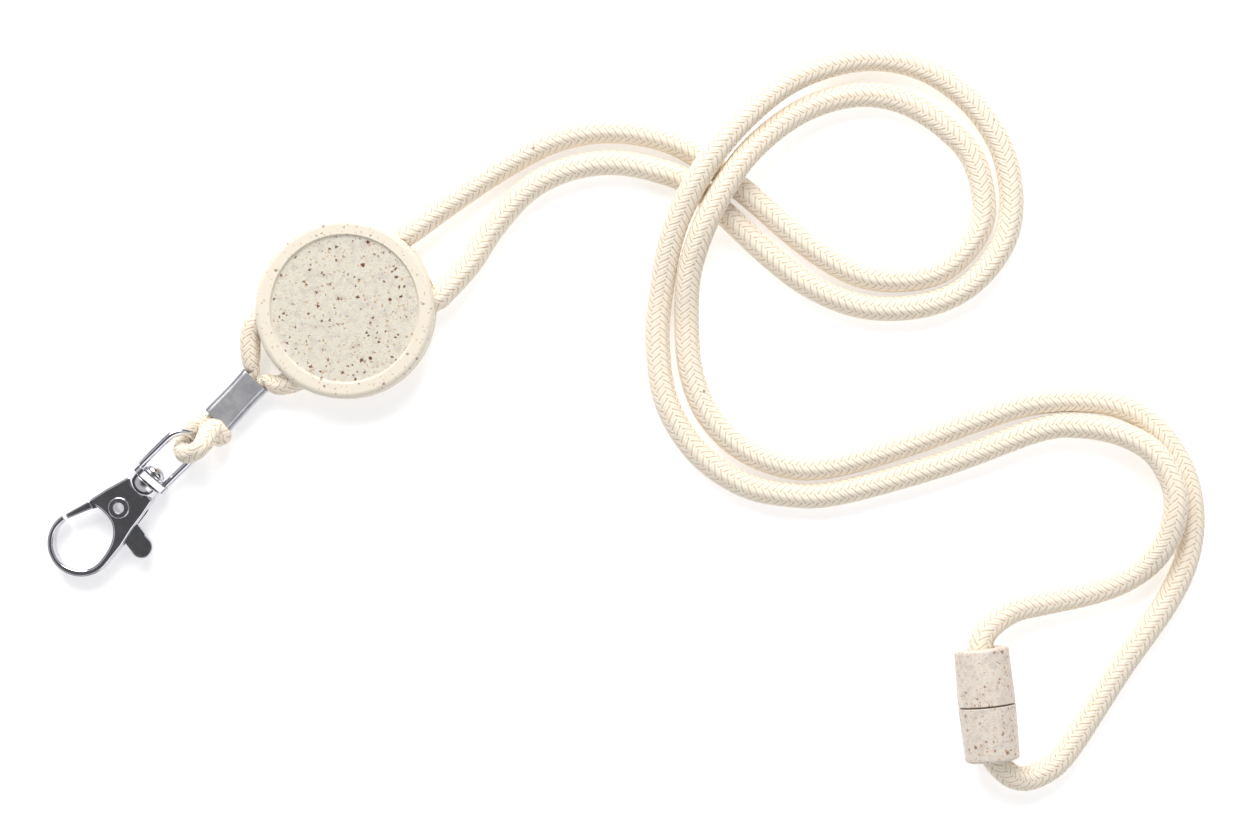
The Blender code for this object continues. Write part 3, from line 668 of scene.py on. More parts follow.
@dataclass(frozen=True)
class MetalFinish:
    """Plated or bare metal: its colour, its polish and the faint marks of handling."""

    name: str
    colour: Colour
    roughness: float
    mottle: Colour
    mottling: float = 0.3
    wave: float = 0.00002     # how deep the surface's slow waves are

    def material(self) -> bpy.types.Material:
        """Makes the finish.

        Returns:
            The material.
        """
        sheet = NodeSheet(self.name)
        place = sheet.place()
        cloudy = sheet.between(sheet.noise(place, 520.0, 3.0), 0.36, 0.66)
        colour = sheet.mix(sheet.times(cloudy, self.mottling), self.colour, self.mottle)
        scratches = sheet.noise(sheet.stretched(place, (1.0, 9.0, 9.0), (0, 0, CLIP_YAW)), 900.0, 3.0)
        rough = sheet.math("MULTIPLY_ADD", scratches, 0.5 * self.roughness, 0.75 * self.roughness)
        return sheet.surface(
            Base_Color=colour, Metallic=1.0, Roughness=rough,
            Normal=sheet.bump(sheet.noise(place, 380.0), self.wave, 0.6),
        )


def modified(piece: bpy.types.Object, kind: str, **settings: object) -> None:
    """Applies a modifier to a piece.

    Args:
        piece: the piece, which becomes the active one.
        kind: the modifier's type.
        settings: its settings.
    """
    bpy.context.view_layer.objects.active = piece
    modifier = piece.modifiers.new(kind.lower(), kind)
    for name, value in settings.items():
        setattr(modifier, name, value)
    bpy.ops.object.modifier_apply(modifier=modifier.name)


def even_flats(piece: bpy.types.Object) -> None:
    """Shades a piece smoothly, with its flat faces kept flat."""
    bpy.ops.object.shade_smooth_by_angle(angle=SHARP_FROM)
    modified(piece, "WEIGHTED_NORMAL", keep_sharp=True, weight=80)


def pick(piece: bpy.types.Object, kind: str, test: Callable[[Vector, Vector], bool]) -> None:
    """Selects some of a piece's edges or faces, and leaves it in edit mode.

    Args:
        piece: the active piece.
        kind: EDGE or FACE.
        test: takes the middle and the direction of an edge, or the middle and the normal of a face.
    """
    bpy.ops.object.mode_set(mode="EDIT")
    bpy.ops.mesh.select_mode(type=kind)
    bpy.ops.mesh.select_all(action="DESELECT")
    bpy.ops.object.mode_set(mode="OBJECT")
    verts = piece.data.vertices
    if kind == "EDGE":
        for edge in piece.data.edges:
            a, b = (verts[i].co for i in edge.vertices)
            edge.select = test((a + b) / 2, (b - a).normalized())
    else:
        for face in piece.data.polygons:
            face.select = test(face.center, face.normal)
    bpy.ops.object.mode_set(mode="EDIT")


def traced(name: str, outline: Sequence[Point], half: float) -> bpy.types.Object:
    """Models a plate: one point is pulled along its outline, and the filled outline is pulled up.

    Args:
        name: the plate's name.
        outline: its corners.
        half: half its thickness, above and below the middle.

    Returns:
        The plate, active and in object mode.
    """
    bpy.ops.object.select_all(action="DESELECT")
    bpy.ops.mesh.primitive_plane_add(size=MM)
    piece = bpy.context.object
    piece.name = name
    bpy.ops.object.mode_set(mode="EDIT")
    bpy.ops.mesh.select_mode(type="VERT")
    bpy.ops.mesh.select_all(action="SELECT")
    bpy.ops.mesh.merge(type="CENTER")
    bpy.ops.transform.translate(value=(*outline[0], -half))
    for a, b in zip(outline, outline[1:]):
        bpy.ops.mesh.extrude_vertices_move(TRANSFORM_OT_translate={"value": (b[0] - a[0], b[1] - a[1], 0)})
    bpy.ops.mesh.select_all(action="SELECT")
    bpy.ops.mesh.edge_face_add()
    bpy.ops.mesh.extrude_region_move(TRANSFORM_OT_translate={"value": (0, 0, 2 * half)})
    bpy.ops.mesh.select_all(action="SELECT")
    bpy.ops.mesh.normals_make_consistent(inside=False)
    bpy.ops.object.mode_set(mode="OBJECT")
    return piece


def rod(name: str, radius: float, middle: Point, length: float, along_x: bool = False) -> bpy.types.Object:
    """A round bar through a middle point, upright or along X, to cut or to join.

    Args:
        name: its name.
        radius: its radius.
        middle: its middle.
        length: its length.
        along_x: whether it lies along X.

    Returns:
        The bar.
    """
    bpy.ops.object.select_all(action="DESELECT")
    turn = (0, pi / 2, 0) if along_x else (0, 0, 0)
    bpy.ops.mesh.primitive_cylinder_add(
        vertices=64, radius=radius, depth=length, location=middle, rotation=turn,
    )
    piece = bpy.context.object
    piece.name = name
    settled(piece)
    return piece


def rounded(
    piece: bpy.types.Object, width: float, from_angle: float = 35.0, rounding: int = 4,
    miter: str = "MITER_SHARP",
) -> bpy.types.Object:
    """Rounds a piece's sharp edges.

    Args:
        piece: the piece.
        width: the rounded edge's width, in metres.
        from_angle: the least angle that counts as sharp, in degrees.
        rounding: how many faces round it.
        miter: how rounded edges meet at an outer corner.

    Returns:
        The piece.
    """
    limit = radians(from_angle)
    modified(
        piece, "BEVEL", width=width, segments=rounding, limit_method="ANGLE", angle_limit=limit,
        miter_outer=miter,
    )
    return piece


def joined(piece: bpy.types.Object, other: bpy.types.Object, operation: str = "DIFFERENCE") -> None:
    """Cuts another piece from this one, or joins it on, and removes it.

    Args:
        piece: the piece that stays.
        other: the piece that is used up.
        operation: DIFFERENCE or UNION.
    """
    modified(piece, "BOOLEAN", operation=operation, object=other)
    bpy.data.objects.remove(other, do_unlink=True)


def arc(centre: Point, radius: float, start: float, end: float, steps: int) -> list[Point]:
    """Points on a circle, from one angle to another in degrees."""
    angles = [radians(start + (end - start) * i / steps) for i in range(steps + 1)]
    return [(centre[0] + radius * cos(a), centre[1] + radius * sin(a)) for a in angles]


def settled(piece: bpy.types.Object) -> None:
    """Puts a piece's place into its mesh, so that its object sits at the origin.

    Args:
        piece: the piece, which becomes the only selected one.
    """
    bpy.ops.object.mode_set(mode="OBJECT")
    bpy.ops.object.select_all(action="DESELECT")
    piece.select_set(True)
    bpy.context.view_layer.objects.active = piece
    bpy.ops.object.transform_apply(location=True, rotation=True, scale=True)


def fined(node: str, name: str, edge: float) -> bpy.types.Object:
    """A frame solid's own copy with its edges rounded, to stand for it.

    Args:
        node: the solid's node.
        name: the copy's name.
        edge: the width of the rounded edge, in metres, or 0 for none.

    Returns:
        The copy, which replaces the node.
    """
    bpy.ops.object.select_all(action="DESELECT")
    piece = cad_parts[node].copy()
    piece.data = piece.data.copy()
    piece.name = name
    for key in list(piece.keys()):
        del piece[key]
    piece.parent = None
    bpy.context.scene.collection.objects.link(piece)
    bpy.context.view_layer.objects.active = piece
    piece.select_set(True)
    bpy.ops.object.mode_set(mode="EDIT")
    bpy.ops.mesh.select_all(action="SELECT")
    bpy.ops.mesh.remove_doubles(threshold=1e-7)
    bpy.ops.mesh.dissolve_limited(angle_limit=radians(0.5))
    bpy.ops.object.mode_set(mode="OBJECT")
    if edge > 0:
        rounded(piece, edge, rounding=3, miter="MITER_ARC")
    even_flats(piece)
    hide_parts(node)
    return piece


@dataclass
class BraidedTube:
    """A length of the braided cord as a mesh, with its relief in the mesh and its braid map."""

    name: str
    line: list[Vector]
    radii: list[float] | None = None
    braid: RoundBraid = RoundBraid()
    around: int = 48
    step: float = 0.00027

    def frames(self, points: np.ndarray) -> tuple[np.ndarray, np.ndarray]:
        """Two directions across the cord at each point, which don't twist along it.

        Args:
            points: the centre line.

        Returns:
            The first and the second directions.
        """
        ahead = np.gradient(points, axis=0)
        ahead /= np.linalg.norm(ahead, axis=1)[:, None]
        side = np.cross(ahead[0], (0.0, 0.0, 1.0))
        side /= np.linalg.norm(side)
        sides = []
        for direction in ahead:
            side = side - direction * side.dot(direction)
            side = side / np.linalg.norm(side)
            sides.append(side)
        first = np.array(sides)
        return first, np.cross(ahead, first)

    def build(self) -> bpy.types.Object:
        """Builds the mesh.

        Returns:
            The piece, at the origin.
        """
        raw = np.array([tuple(p) for p in self.line])
        gone = np.concatenate([[0.0], np.cumsum(np.linalg.norm(np.diff(raw, axis=0), axis=1))])
        rings = max(round(gone[-1] / self.step), 8)
        goals = np.linspace(0.0, gone[-1], rings)
        points = np.stack([np.interp(goals, gone, raw[:, k]) for k in range(3)], axis=1)
        wanted = self.radii or [CORD_D / 2] * len(self.line)
        radius = np.interp(goals, gone, wanted)
        first, second = self.frames(points)
        turn = np.arange(self.around) / self.around
        place_around, place_along = np.meshgrid(turn * self.braid.yarns, goals / self.braid.pitch)
        share = (radius / (CORD_D / 2))[:, None]
        away = radius[:, None] + self.braid.relief(place_around, place_along) * share
        across = np.cos(2 * pi * turn)[None, :, None] * first[:, None, :]
        across = across + np.sin(2 * pi * turn)[None, :, None] * second[:, None, :]
        verts = (points[:, None, :] + away[:, :, None] * across).reshape(-1, 3)
        mesh = self.mesh_of(verts, rings)
        self.lay_map(mesh, goals / self.braid.pitch)
        piece = bpy.data.objects.new(self.name, mesh)
        bpy.context.scene.collection.objects.link(piece)
        return piece

    def mesh_of(self, verts: np.ndarray, rings: int) -> bpy.types.Mesh:
        """The rings joined by faces, with a flat cap at each end.

        Args:
            verts: the points, ring by ring.
            rings: how many rings there are.

        Returns:
            The mesh.
        """
        n = self.around
        ring = np.arange(rings - 1)[:, None] * n
        here = np.arange(n)[None, :]
        after = (here + 1) % n
        quads = np.stack([ring + here, ring + n + here, ring + n + after, ring + after], axis=-1)
        faces = quads.reshape(-1, 4).tolist()
        faces.append(list(range(n)))
        faces.append(list(range(n * rings - 1, n * (rings - 1) - 1, -1)))
        mesh = bpy.data.meshes.new(self.name)
        mesh.from_pydata(verts.tolist(), [], faces)
        mesh.shade_smooth()
        return mesh

    def lay_map(self, mesh: bpy.types.Mesh, along: np.ndarray) -> None:
        """Lays the braid map: yarns round the cord, and pitches along it.

        Args:
            mesh: the tube.
            along: each ring's place along the cord, in pitches.
        """
        n = self.around
        layer = mesh.uv_layers.new(name=self.braid.map_name)
        share = self.braid.yarns / n
        u0, v0 = np.meshgrid(np.arange(n) * share, along[:-1])
        _, v1 = np.meshgrid(np.arange(n), along[1:])
        corners = [(u0, v0), (u0, v1), (u0 + share, v1), (u0 + share, v0)]
        flat = np.stack([np.stack(c, axis=-1) for c in corners], axis=2).reshape(-1)
        caps = np.zeros(2 * n * 2)
        layer.data.foreach_set("uv", np.concatenate([flat, caps]))


@dataclass
class LanyardCord:
    """The lanyard's cord: two long runs from the disc to the buckle, and the loop that holds the hook.

    A point of the loop has the cord's radius there as its fourth number.
    """

    finish: CottonFinish = CottonFinish()
    line_step: float = 0.0012
    loop_step: float = 0.0004
    inner_stops: Point = (-0.008, -0.013)         # distances along the disc's channels
    outer_stops: Point = (-0.015, -0.008)
    blend_from_y: float = -0.050
    blend_to_y: float = -0.090
    loop_in: tuple[Point, ...] = (
        (-0.0175, -0.0024, 0.0040, 0.0023), (-0.0187, -0.0052, 0.0036, 0.0021),
        (-0.0188, -0.0084, 0.0032, 0.0020), (-0.0186, -0.0108, 0.0029, 0.0017),
    )
    loop_out: tuple[Point, ...] = (
        (-0.0159, -0.0137, 0.0029, 0.0012), (-0.0142, -0.0145, 0.0033, 0.0018),
        (-0.0126, -0.0147, 0.0037, 0.0020),
    )
    below_ferrule: Point = (-0.0286, -0.0222, 0.0023, 0.0020)
    to_ferrule: tuple[Point, ...] = ((-0.0260, -0.0237, 0.0053, 0.0023), (-0.0246, -0.0245, 0.0037, 0.0023))

    def from_disc(self, side: Side, route: list[Vector]) -> list[Vector]:
        """A run's line: straight out through its channel, then smoothly along its route.

        Args:
            side: the channel.
            route: the points after the disc's rim.

        Returns:
            The line's points.
        """
        rim = sqrt(DISC_R**2 - CHANNEL_OFFSET**2)
        start = [in_channel(side, d) for d in (GAP / 2, rim / 2)]
        return start + smooth_curve([in_channel(side, rim), *route], self.line_step)

    def inner_line(self) -> list[Vector]:
        """The run from the disc to the plug, and into the plug's crimp.

        Returns:
            The line's points.
        """
        wall = BUCKLE_LENGTH - BUCKLE_END_WALL - GAP
        mouth = buckle_point(BUCKLE_LENGTH + GAP, PLUG_HOLE_R - CORD_D / 2 - 2 * GAP)
        end = [mouth, buckle_point(wall), buckle_point(wall - CRIMP_LENGTH)]
        return self.from_disc(Side.INNER, [*resting(INNER_ROUTE), *resting(PLUG_LEAD_ROUTE), *end])

    def outer_line(self) -> list[Vector]:
        """The run from the disc to the socket, and into the socket's crimp."""
        end = [buckle_point(-GAP), buckle_point(BUCKLE_END_WALL + GAP + CRIMP_LENGTH)]
        return self.from_disc(Side.OUTER, [*resting(OUTER_ROUTE), *resting(OUTER_BEND), *end])

    def loop_line(self) -> list[Vector]:
        """The loop, from one channel round the bail's wire to the other.

        Returns:
            The line's points, with the cord's radius as their fourth number.
        """
        c = cos(FERRULE_ANGLE)
        s = sin(FERRULE_ANGLE)

        def squeezed(side: int, share: float) -> Vector:
            """A point on one strand inside the ferrule.

            Args:
                side: 1 for the strand that goes down to the bail, and -1 for the one that comes back.
                share: how far along the ferrule from its middle, as a share of its length.

            Returns:
                The point, with the strand's radius as its fourth number.
            """
            run = FERRULE_LENGTH * share
            off = side * STRAND_OFFSET
            at = FERRULE_AT + Vector((c * run - s * off, s * run + c * off, 0))
            return Vector((*at, FERRULE_STRAND_R))

        full = CORD_D / 2
        past_end = 0.54
        route = [Vector((*in_channel(Side.INNER, d), full)) for d in (-GAP / 2, *self.inner_stops)]
        route += [Vector(p) for p in self.loop_in]
        route += [squeezed(1, share) for share in (past_end, 0.0, -past_end)]
        route.append(Vector(self.below_ferrule))
        up = Vector((0, 0, 1))
        ahead = Vector((cos(CLIP_YAW), sin(CLIP_YAW), 0))
        across = ahead.cross(up) * cos(LOOP_TWIST) - up * sin(LOOP_TWIST)
        forward = ahead * cos(LOOP_LIFT) + up * sin(LOOP_LIFT)
        for step in range(LOOP_STEPS + 1):
            turn = pi * step / LOOP_STEPS
            at = LOOP_CENTRE + LOOP_R * (cos(turn) * across + sin(turn) * forward)
            route.append(Vector((*at, LOOP_STRAND_R)))
        route += [Vector(p) for p in self.to_ferrule]
        route += [squeezed(-1, share) for share in (-past_end, 0.0, past_end)]
        route += [Vector(p) for p in self.loop_out]
        route += [Vector((*in_channel(Side.OUTER, d), full)) for d in (*self.outer_stops, -GAP / 2)]
        return smooth_curve(route, self.loop_step)

    def build(self) -> None:
        """Builds both runs and the loop."""
        cotton = self.finish.material("braided_cotton_finish")
        line = self.inner_line()
        inner = BraidedTube("inner_cord_run", line).build()
        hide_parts("cord_inner_run", "cord_plug_lead")
        shown(inner, cotton, None)
        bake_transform(inner)
        line = self.outer_line()
        outer = BraidedTube("outer_cord_run", line).build()
        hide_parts("cord_outer_run")
        shown(outer, cotton, ROOT_BODY)
        line = self.loop_line()
        loop = BraidedTube("hook_loop_cord", [p.to_3d() for p in line], [p.w for p in line]).build()
        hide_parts("cord_hook_loop")
        shown(loop, cotton, ROOT_BODY)


@dataclass
class SliderDisc:
    """The round disc: a front shell with a recessed face, pegged to a plain back shell."""

    edge: float = 0.00018
    finish: DiscPlastic = DiscPlastic(
        "disc_straw_plastic", base=(0.745, 0.705, 0.605), grain=(0.56, 0.51, 0.43), specks=1.35, spread=1.25,
        flat=True,
    )
    back_finish: StrawPlastic = StrawPlastic("disc_back_plastic", specks=0.4, clouds=0.3, flat=True)

    def build(self) -> None:
        """Builds both shells."""
        front = fined("disc_front_shell", "disc_front", self.edge)
        shown(front, self.finish.material(), ROOT_BODY)
        back = fined("disc_back_shell", "disc_back", self.edge)
        shown(back, self.back_finish.material(), ROOT_BODY)


@dataclass
class BreakawayBuckle:
    """The round buckle: a socket, a sleeve that pulls off it, the tongue inside and the cord's two crimps."""

    edge: float = 0.00020
    tongue_edge: float = 0.00006
    crimp_edge: float = 0.0001
    finish: StrawPlastic = StrawPlastic(
        "buckle_straw_plastic", base=(0.79, 0.72, 0.64), grain=(0.64, 0.55, 0.47), speck=(0.33, 0.15, 0.07),
        straw=(0.55, 0.31, 0.15), clouds=0.45, specks=2.9, spread=1.6, cell=1150.0,
    )
    tongue_finish: StrawPlastic = StrawPlastic("tongue_plastic_finish", specks=0.3, clouds=0.1)
    crimp_finish: MetalFinish = MetalFinish("crimp_metal", (0.60, 0.60, 0.63), 0.35, (0.42, 0.41, 0.44))

    def build(self) -> None:
        """Builds the halves, the tongue and the crimps."""
        plastic = self.finish.material()
        metal = self.crimp_finish.material()
        shown(fined("buckle_socket", "socket_half", self.edge), plastic, ROOT_BODY)
        shown(fined("buckle_plug_sleeve", "plug_half", self.edge), plastic, PLUG_BODY)
        tongue = fined("buckle_plug_insert", "snap_tongue", self.tongue_edge)
        shown(tongue, self.tongue_finish.material(), PLUG_BODY)
        shown(fined("socket_cord_crimp", "socket_crimp", self.crimp_edge), metal, ROOT_BODY)
        shown(fined("plug_cord_crimp", "plug_crimp", self.crimp_edge), metal, PLUG_BODY)


@dataclass
class CrimpFerrule:
    """The crimped metal sleeve that holds both strands under the disc."""

    width: float = 0.0063
    thickness: float = 0.0049
    corner: float = 0.0011
    corner_faces: int = 6
    wall: float = 0.0005
    waist: float = 0.985      # the share of its width left at the middle
    edge: float = 0.00014
    stations: int = 4         # cuts on each side of the middle
    # A darker metal colour for the sleeve's bent upper edges: a painted dark reflection, not a different metal.
    painted_dark_reflection: MetalFinish = MetalFinish("ferrule_painted_dark_reflection", (0.34, 0.34, 0.36), 0.40, (0.26, 0.26, 0.28), 0.6)
    finish: MetalFinish = MetalFinish(
        "ferrule_satin", (0.64, 0.645, 0.67), 0.44, (0.47, 0.475, 0.50), 0.6, 0.000025,
    )

    def sleeve(self) -> bpy.types.Object:
        """Models the sleeve: a bar with round long edges, opened at both ends and pressed in the middle.

        Returns:
            The sleeve in its place.
        """
        bpy.ops.object.select_all(action="DESELECT")
        bpy.ops.mesh.primitive_cube_add(size=1.0)
        piece = bpy.context.object
        piece.name = "crimped_sleeve"
        piece.scale = (FERRULE_LENGTH, self.width, self.thickness)
        settled(piece)
        pick(piece, "EDGE", lambda middle, way: abs(way.x) > 0.9)
        bpy.ops.mesh.bevel(offset=self.corner, segments=self.corner_faces, affect="EDGES")
        pick(piece, "FACE", lambda middle, normal: abs(normal.x) > 0.9)
        bpy.ops.mesh.delete(type="FACE")
        for cut in range(-self.stations, self.stations + 1):
            x = FERRULE_LENGTH / 2 * cut / (self.stations + 1)
            bpy.ops.mesh.select_all(action="SELECT")
            bpy.ops.mesh.bisect(plane_co=(x, 0, 0), plane_no=(1, 0, 0))
            narrow = 1 - (1 - self.waist) * cos(pi * x / FERRULE_LENGTH)
            bpy.ops.transform.resize(value=(1, narrow, narrow), center_override=(x, 0, 0))
        bpy.ops.object.mode_set(mode="OBJECT")
        modified(piece, "SOLIDIFY", thickness=self.wall, offset=-1)
        rounded(piece, self.edge, 60.0, 3)
        piece.rotation_euler = (0, 0, FERRULE_ANGLE)
        piece.location = FERRULE_AT
        settled(piece)
        even_flats(piece)
        return piece

    def build(self) -> None:
        """Builds the sleeve, whose bent upper edges take a darker metal colour as a painted dark reflection."""
        sleeve = self.sleeve()
        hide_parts("crimp_ferrule")
        shown(sleeve, self.finish.material(), ROOT_BODY)
        # Painted dark reflection: the faces on the bent upper edges, sloping between flat and upright, take the
        # darker colour.
        sleeve.data.materials.append(self.painted_dark_reflection.material())
        bpy.context.view_layer.objects.active = sleeve
        pick(sleeve, "FACE", lambda middle, normal: 0.25 < normal.z < 0.9)
        sleeve.active_material_index = 1
        bpy.ops.object.material_slot_assign()
        bpy.ops.object.mode_set(mode="OBJECT")


@dataclass
class TriggerHook:
    """The swivel trigger hook: its bail, post and washer, and its body, gate, rivet and spring.

    Places are in the hook's own frame: X along the swivel's axis and Y to the lever's side.
    """

    half: float = 0.0019                          # of the body's thickness
    body_edge: float = 0.00052
    gate_edge: float = 0.00032
    plate_edge: float = 0.0001
    collar_edge: float = 0.00022
    corner_angle: float = 50.0                    # the least angle that is rounded, in degrees
    ring_centre: Point = (0.0180, -0.00025)
    ring_r: float = 0.00665
    rivet_at: Point = (0.0076, 0.0001)
    rivet_hole_r: float = 0.0016
    hub_r: float = 0.0026
    hub_clearance: float = 0.00025
    slot_half: float = 0.0009
    plate_half: float = 0.0007                    # of the gate's plate
    bar_half: float = 0.0015
    pad_half: float = 0.0013
    collar_r: float = 0.0034
    collar_h: float = 0.0015
    neck_r: float = 0.0026
    neck_h: float = 0.0012
    run: float = 0.00015
    post_r: float = 0.0012
    post_reach: float = 0.0038
    spring_at: Point = (0.0027, 0.00245)
    spring_r: float = 0.0007
    spring_length: float = 0.0040
    spring_squeezed: float = 0.5                  # the share of its length left when the gate is open
    pad_from: float = 0.0073
    plate: MetalFinish = MetalFinish(
        "polished_nickel_finish", (0.66, 0.66, 0.69), 0.13, (0.52, 0.52, 0.56), 0.4, 0.00003,
    )
    steel: MetalFinish = MetalFinish("spring_steel_finish", (0.55, 0.55, 0.58), 0.22, (0.40, 0.40, 0.42))

    def turn(self) -> Matrix:
        """How the hook's own frame is turned where it lies."""
        return Matrix.Rotation(CLIP_YAW, 4, "Z") @ Matrix.Rotation(CLIP_PITCH, 4, "Y")

    def placed(self, piece: bpy.types.Object) -> bpy.types.Object:
        """Moves a piece from the hook's own frame to where it lies, and shades it.

        Args:
            piece: the piece, in the hook's own frame.

        Returns:
            The piece in its place.
        """
        turn = self.turn()
        piece.rotation_euler = turn.to_euler()
        piece.location = CROWN_AT + turn @ Vector((HOOK_FROM, 0, 0))
        settled(piece)
        even_flats(piece)
        return piece

    def body(self) -> bpy.types.Object:
        """Models the body: a plate with an eye, rounded, then cut for the gate, rivet, post and spring.

        Returns:
            The body in its place.
        """
        past = 2 * self.half
        ring = arc(self.ring_centre, self.ring_r, 100, -100, 40)
        outline = [
            (0.0018, -0.0030), (0.0018, 0.0037), (0.0052, 0.0044), (0.0088, 0.0049), (0.0126, 0.0058), *ring,
            (0.0165, -0.0066), (0.0116, -0.0054), (0.0103, -0.0051), (0.0070, -0.0044),
        ]
        eye = [
            (0.0105, -0.0014), (0.0110, 0.0014), (0.0130, 0.0035), (0.0162, 0.0046), (0.0195, 0.0047),
            (0.0221, 0.0029), (0.0234, -0.0003), (0.0225, -0.0033), (0.0200, -0.0053), (0.0172, -0.0055),
            (0.0140, -0.0049), (0.0112, -0.0039),
        ]
        closed = [Vector((*p, 0.0)) for p in (*eye[-2:], *eye, *eye[:3])]
        smooth = smooth_curve(closed, 0.0007)
        # The curve laps itself by the points added at each end, so only one lap of it is kept
        first = min(range(len(smooth) // 4), key=lambda i: (smooth[i] - closed[2]).length)
        last = min(range(len(smooth) // 2, len(smooth)), key=lambda i: (smooth[i] - closed[-3]).length)
        hole = [(p.x, p.y) for p in smooth[first:last]]
        piece = traced("hook_casting", outline, self.half)
        joined(piece, traced("eye_cutter", hole, past))
        rounded(piece, self.body_edge, self.corner_angle)
        mouth = [
            (0.01055, -0.0032), (0.0103, -0.0080), (0.0165, -0.0080), (0.01688, -0.0062), (0.0171, -0.0049),
        ]
        joined(piece, traced("mouth_cutter", mouth, past))
        joined(piece, self.collar(), "UNION")
        reach = self.post_reach + self.run + MM
        middle = (self.post_reach + self.run - reach / 2, 0, 0)
        joined(piece, rod("post_cutter", self.post_r + self.run, middle, reach, True))
        slot = [
            (0.0109, 0.0020), (0.0124, 0.0054), (0.0130, 0.0090), (0.0037, 0.0090), (0.0037, 0.0055),
            (0.0045, 0.0030), *arc(self.rivet_at, self.hub_r + self.hub_clearance, 160, 238, 16),
            (0.0081, -0.0044), (0.0096, -0.0051), (0.0102, -0.0070), (0.0136, -0.0070), (0.0136, 0.0010),
        ]
        joined(piece, traced("slot_cutter", slot, self.slot_half))
        joined(piece, rod("rivet_cutter", self.rivet_hole_r, (*self.rivet_at, 0), 2 * past))
        middle = (self.spring_at[0] - self.run + self.spring_length / 2, self.spring_at[1], 0)
        pocket = rod("pocket_cutter", self.spring_r + self.run, middle, self.spring_length, True)
        joined(piece, pocket)
        return self.placed(piece)

    def collar(self) -> bpy.types.Object:
        """Models the round flange and its short cone, where the post goes into the body.

        Returns:
            The collar, in the hook's own frame.
        """
        x = self.run + self.collar_h / 2
        piece = rod("collar", self.collar_r, (x, 0, 0), self.collar_h, True)
        pick(piece, "FACE", lambda middle, normal: normal.x > 0.9)
        bpy.ops.mesh.extrude_region_move(TRANSFORM_OT_translate={"value": (self.neck_h, 0, 0)})
        share = self.neck_r / self.collar_r
        bpy.ops.transform.resize(value=(1, share, share), center_override=(x, 0, 0))
        bpy.ops.object.mode_set(mode="OBJECT")
        return rounded(piece, self.collar_edge, 40.0)

    def gate(self) -> bpy.types.Object:
        """Models the gate: a thin plate with a hub, a thicker bar that shuts the eye, and a thumb pad.

        Returns:
            The gate in its place.
        """
        lever_end = arc((0.0100, 0.0086), 0.0022, 10, 170, 24)
        outline = [
            (0.0103, 0.0020), (0.0118, 0.0056), (0.0122, 0.0086), *lever_end, (0.0078, 0.0075),
            (0.0074, 0.0042), *arc(self.rivet_at, self.hub_r, 125, 235, 20),
            (0.0084, -0.0040), (0.0104, -0.0049), (0.0162, -0.0065), (0.0165, -0.0054),
            (0.0128, -0.0040), (0.0109, -0.0030), (0.0102, -0.0016),
        ]
        piece = traced("thumb_gate", outline, self.plate_half)
        rounded(piece, self.plate_edge, self.corner_angle, 2)
        bar = [(0.0109, -0.00505), (0.0162, -0.0065), (0.01648, -0.0055), (0.0114, -0.0034)]
        joined(piece, rounded(traced("gate_bar", bar, self.bar_half), self.gate_edge), "UNION")
        pad = [(0.0077, 0.0060), (0.0118, 0.0060), (0.0122, 0.0086), *lever_end]
        pad_piece = traced("thumb_pad", pad, self.pad_half)
        rounded(pad_piece, self.gate_edge, self.corner_angle)
        # The pad is cut off square where it meets the plate, so that no rounded edge crosses the lever
        bpy.ops.object.mode_set(mode="EDIT")
        bpy.ops.mesh.select_all(action="SELECT")
        bpy.ops.mesh.bisect(
            plane_co=(0, self.pad_from, 0), plane_no=(0, 1, 0), use_fill=True, clear_inner=True,
        )
        bpy.ops.object.mode_set(mode="OBJECT")
        joined(piece, pad_piece, "UNION")
        joined(piece, rod("gate_hole", self.rivet_hole_r, (*self.rivet_at, 0), 4 * self.half))
        return self.placed(piece)

    def build(self) -> None:
        """Builds each piece on the body that it moves with."""
        nickel = self.plate.material()
        casting = self.body()
        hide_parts("hook_body")
        shown(casting, nickel, HOOK_BODY)
        gate = self.gate()
        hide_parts("hook_gate")
        shown(gate, nickel, "gate")
        pieces = (
            ("swivel_bail", "bail_strap", 0.00018, "bail"),
            ("swivel_post", "headed_post", 0.00012, HOOK_BODY),
            ("swivel_washer", "post_washer", 0.00008, HOOK_BODY),
            ("gate_rivet", "hollow_rivet", 0.00008, HOOK_BODY),
        )
        for node, name, edge, body in pieces:
            shown(fined(node, name, edge), nickel, body)
        spring = fined("gate_spring", "gate_coil", 0.0)
        shown(spring, self.steel.material(), HOOK_BODY)
        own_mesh(spring)


